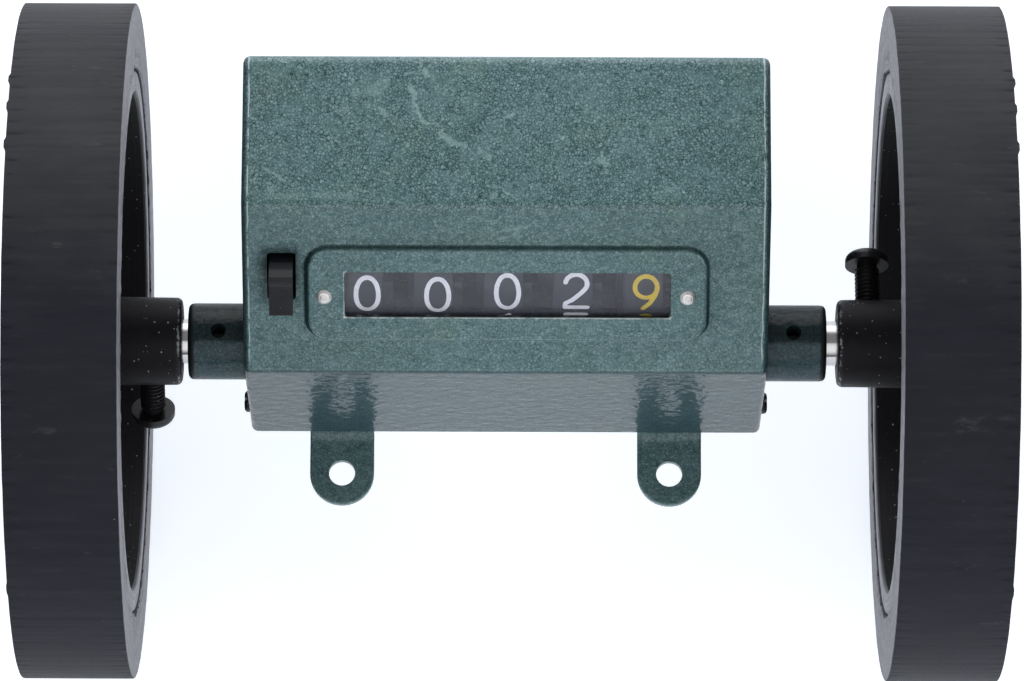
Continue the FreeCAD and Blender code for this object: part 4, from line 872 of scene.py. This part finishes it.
tyre("left")
tyre("right")


# --------------------------------------------------------------- floor and light
def floor_material():
    m = Mat("pale_floor")
    n1 = m.noise(6.0, 3.0, 0.5)
    col = m.ramp(n1, [(0.3, (0.87, 0.89, 0.92, 1)), (0.7, (0.90, 0.92, 0.95, 1))])
    m.set(Base_Color=col, Roughness=0.9, Specular_IOR_Level=0.1)
    m.p.inputs["Emission Color"].default_value = (0.88, 0.93, 1.0, 1)
    m.p.inputs["Emission Strength"].default_value = 0.54
    return m.mat


bpy.ops.mesh.primitive_grid_add(x_subdivisions=12, y_subdivisions=12, size=6.0, location=(0, 0, -0.0533))
floor = bpy.context.object
floor.name = "floor"
floor.data.materials.append(floor_material())

world = bpy.data.worlds.new("studio")
bpy.context.scene.world = world
world.use_nodes = True
wt = world.node_tree
wt.nodes.clear()
bg = wt.nodes.new("ShaderNodeBackground")
wo = wt.nodes.new("ShaderNodeOutputWorld")
wt.links.new(bg.outputs[0], wo.inputs[0])
tc = wt.nodes.new("ShaderNodeTexCoord")
sp = wt.nodes.new("ShaderNodeSeparateXYZ")
wt.links.new(tc.outputs["Generated"], sp.inputs[0])


def wmath(op, a, b=0.0, c=0.0, clamp=False):
    n = wt.nodes.new("ShaderNodeMath")
    n.operation = op
    n.use_clamp = clamp
    for s, v in zip(n.inputs, (a, b, c)):
        if isinstance(v, bpy.types.NodeSocket):
            wt.links.new(v, s)
        else:
            s.default_value = v
    return n.outputs[0]


def wstep(v, a0, a1, b0, b1):
    n = wt.nodes.new("ShaderNodeMapRange")
    n.interpolation_type = "SMOOTHSTEP"
    wt.links.new(v, n.inputs["Value"])
    for k, q in (("From Min", a0), ("From Max", a1), ("To Min", b0), ("To Max", b1)):
        n.inputs[k].default_value = q
    return n.outputs["Result"]


# a soft tent: a wide bright panel in front of the object, a second one low behind it,
# and a dimmer strip between them overhead
along = wmath("ARCTAN2", sp.outputs[2], wmath("MULTIPLY", sp.outputs[1], -1.0))
deg = math.pi / 180.0
s = wstep(along, 4 * deg, 30 * deg, 0.16, 1.35)
s = wmath("MULTIPLY", s, wstep(along, 72 * deg, 75.5 * deg, 1.0, 0.24))
s = wmath("ADD", s, wstep(along, 124 * deg, 152 * deg, 0.0, 2.45))
s = wmath("MULTIPLY", s, wstep(along, -1 * deg, 0.5 * deg, 0.0, 1.0))
s = wmath("ADD", s, wstep(sp.outputs[2], 0.0, -0.02, 0.0, 0.8))
wt.links.new(s, bg.inputs["Strength"])
bg.inputs["Color"].default_value = (0.97, 0.98, 1.0, 1)


def area(name, place, size, power, colour=(1, 1, 1), size_y=None):
    d = bpy.data.lights.new(name, "AREA")
    d.shape = "RECTANGLE"
    d.size = size
    d.size_y = size_y or size
    d.energy = power
    d.color = colour
    o = bpy.data.objects.new(name, d)
    bpy.context.scene.collection.objects.link(o)
    o.location = place
    o.rotation_mode = "QUATERNION"
    o.rotation_quaternion = (Vector(place) * -1).to_track_quat("-Z", "Y")
    return o


area("softbox_front", (0.0, -1.75, 1.75), 2.6, 2.6, (1.0, 0.995, 0.985), 1.3)

bpy.context.scene.view_settings.view_transform = "Standard"
bpy.context.scene.view_settings.look = "None"
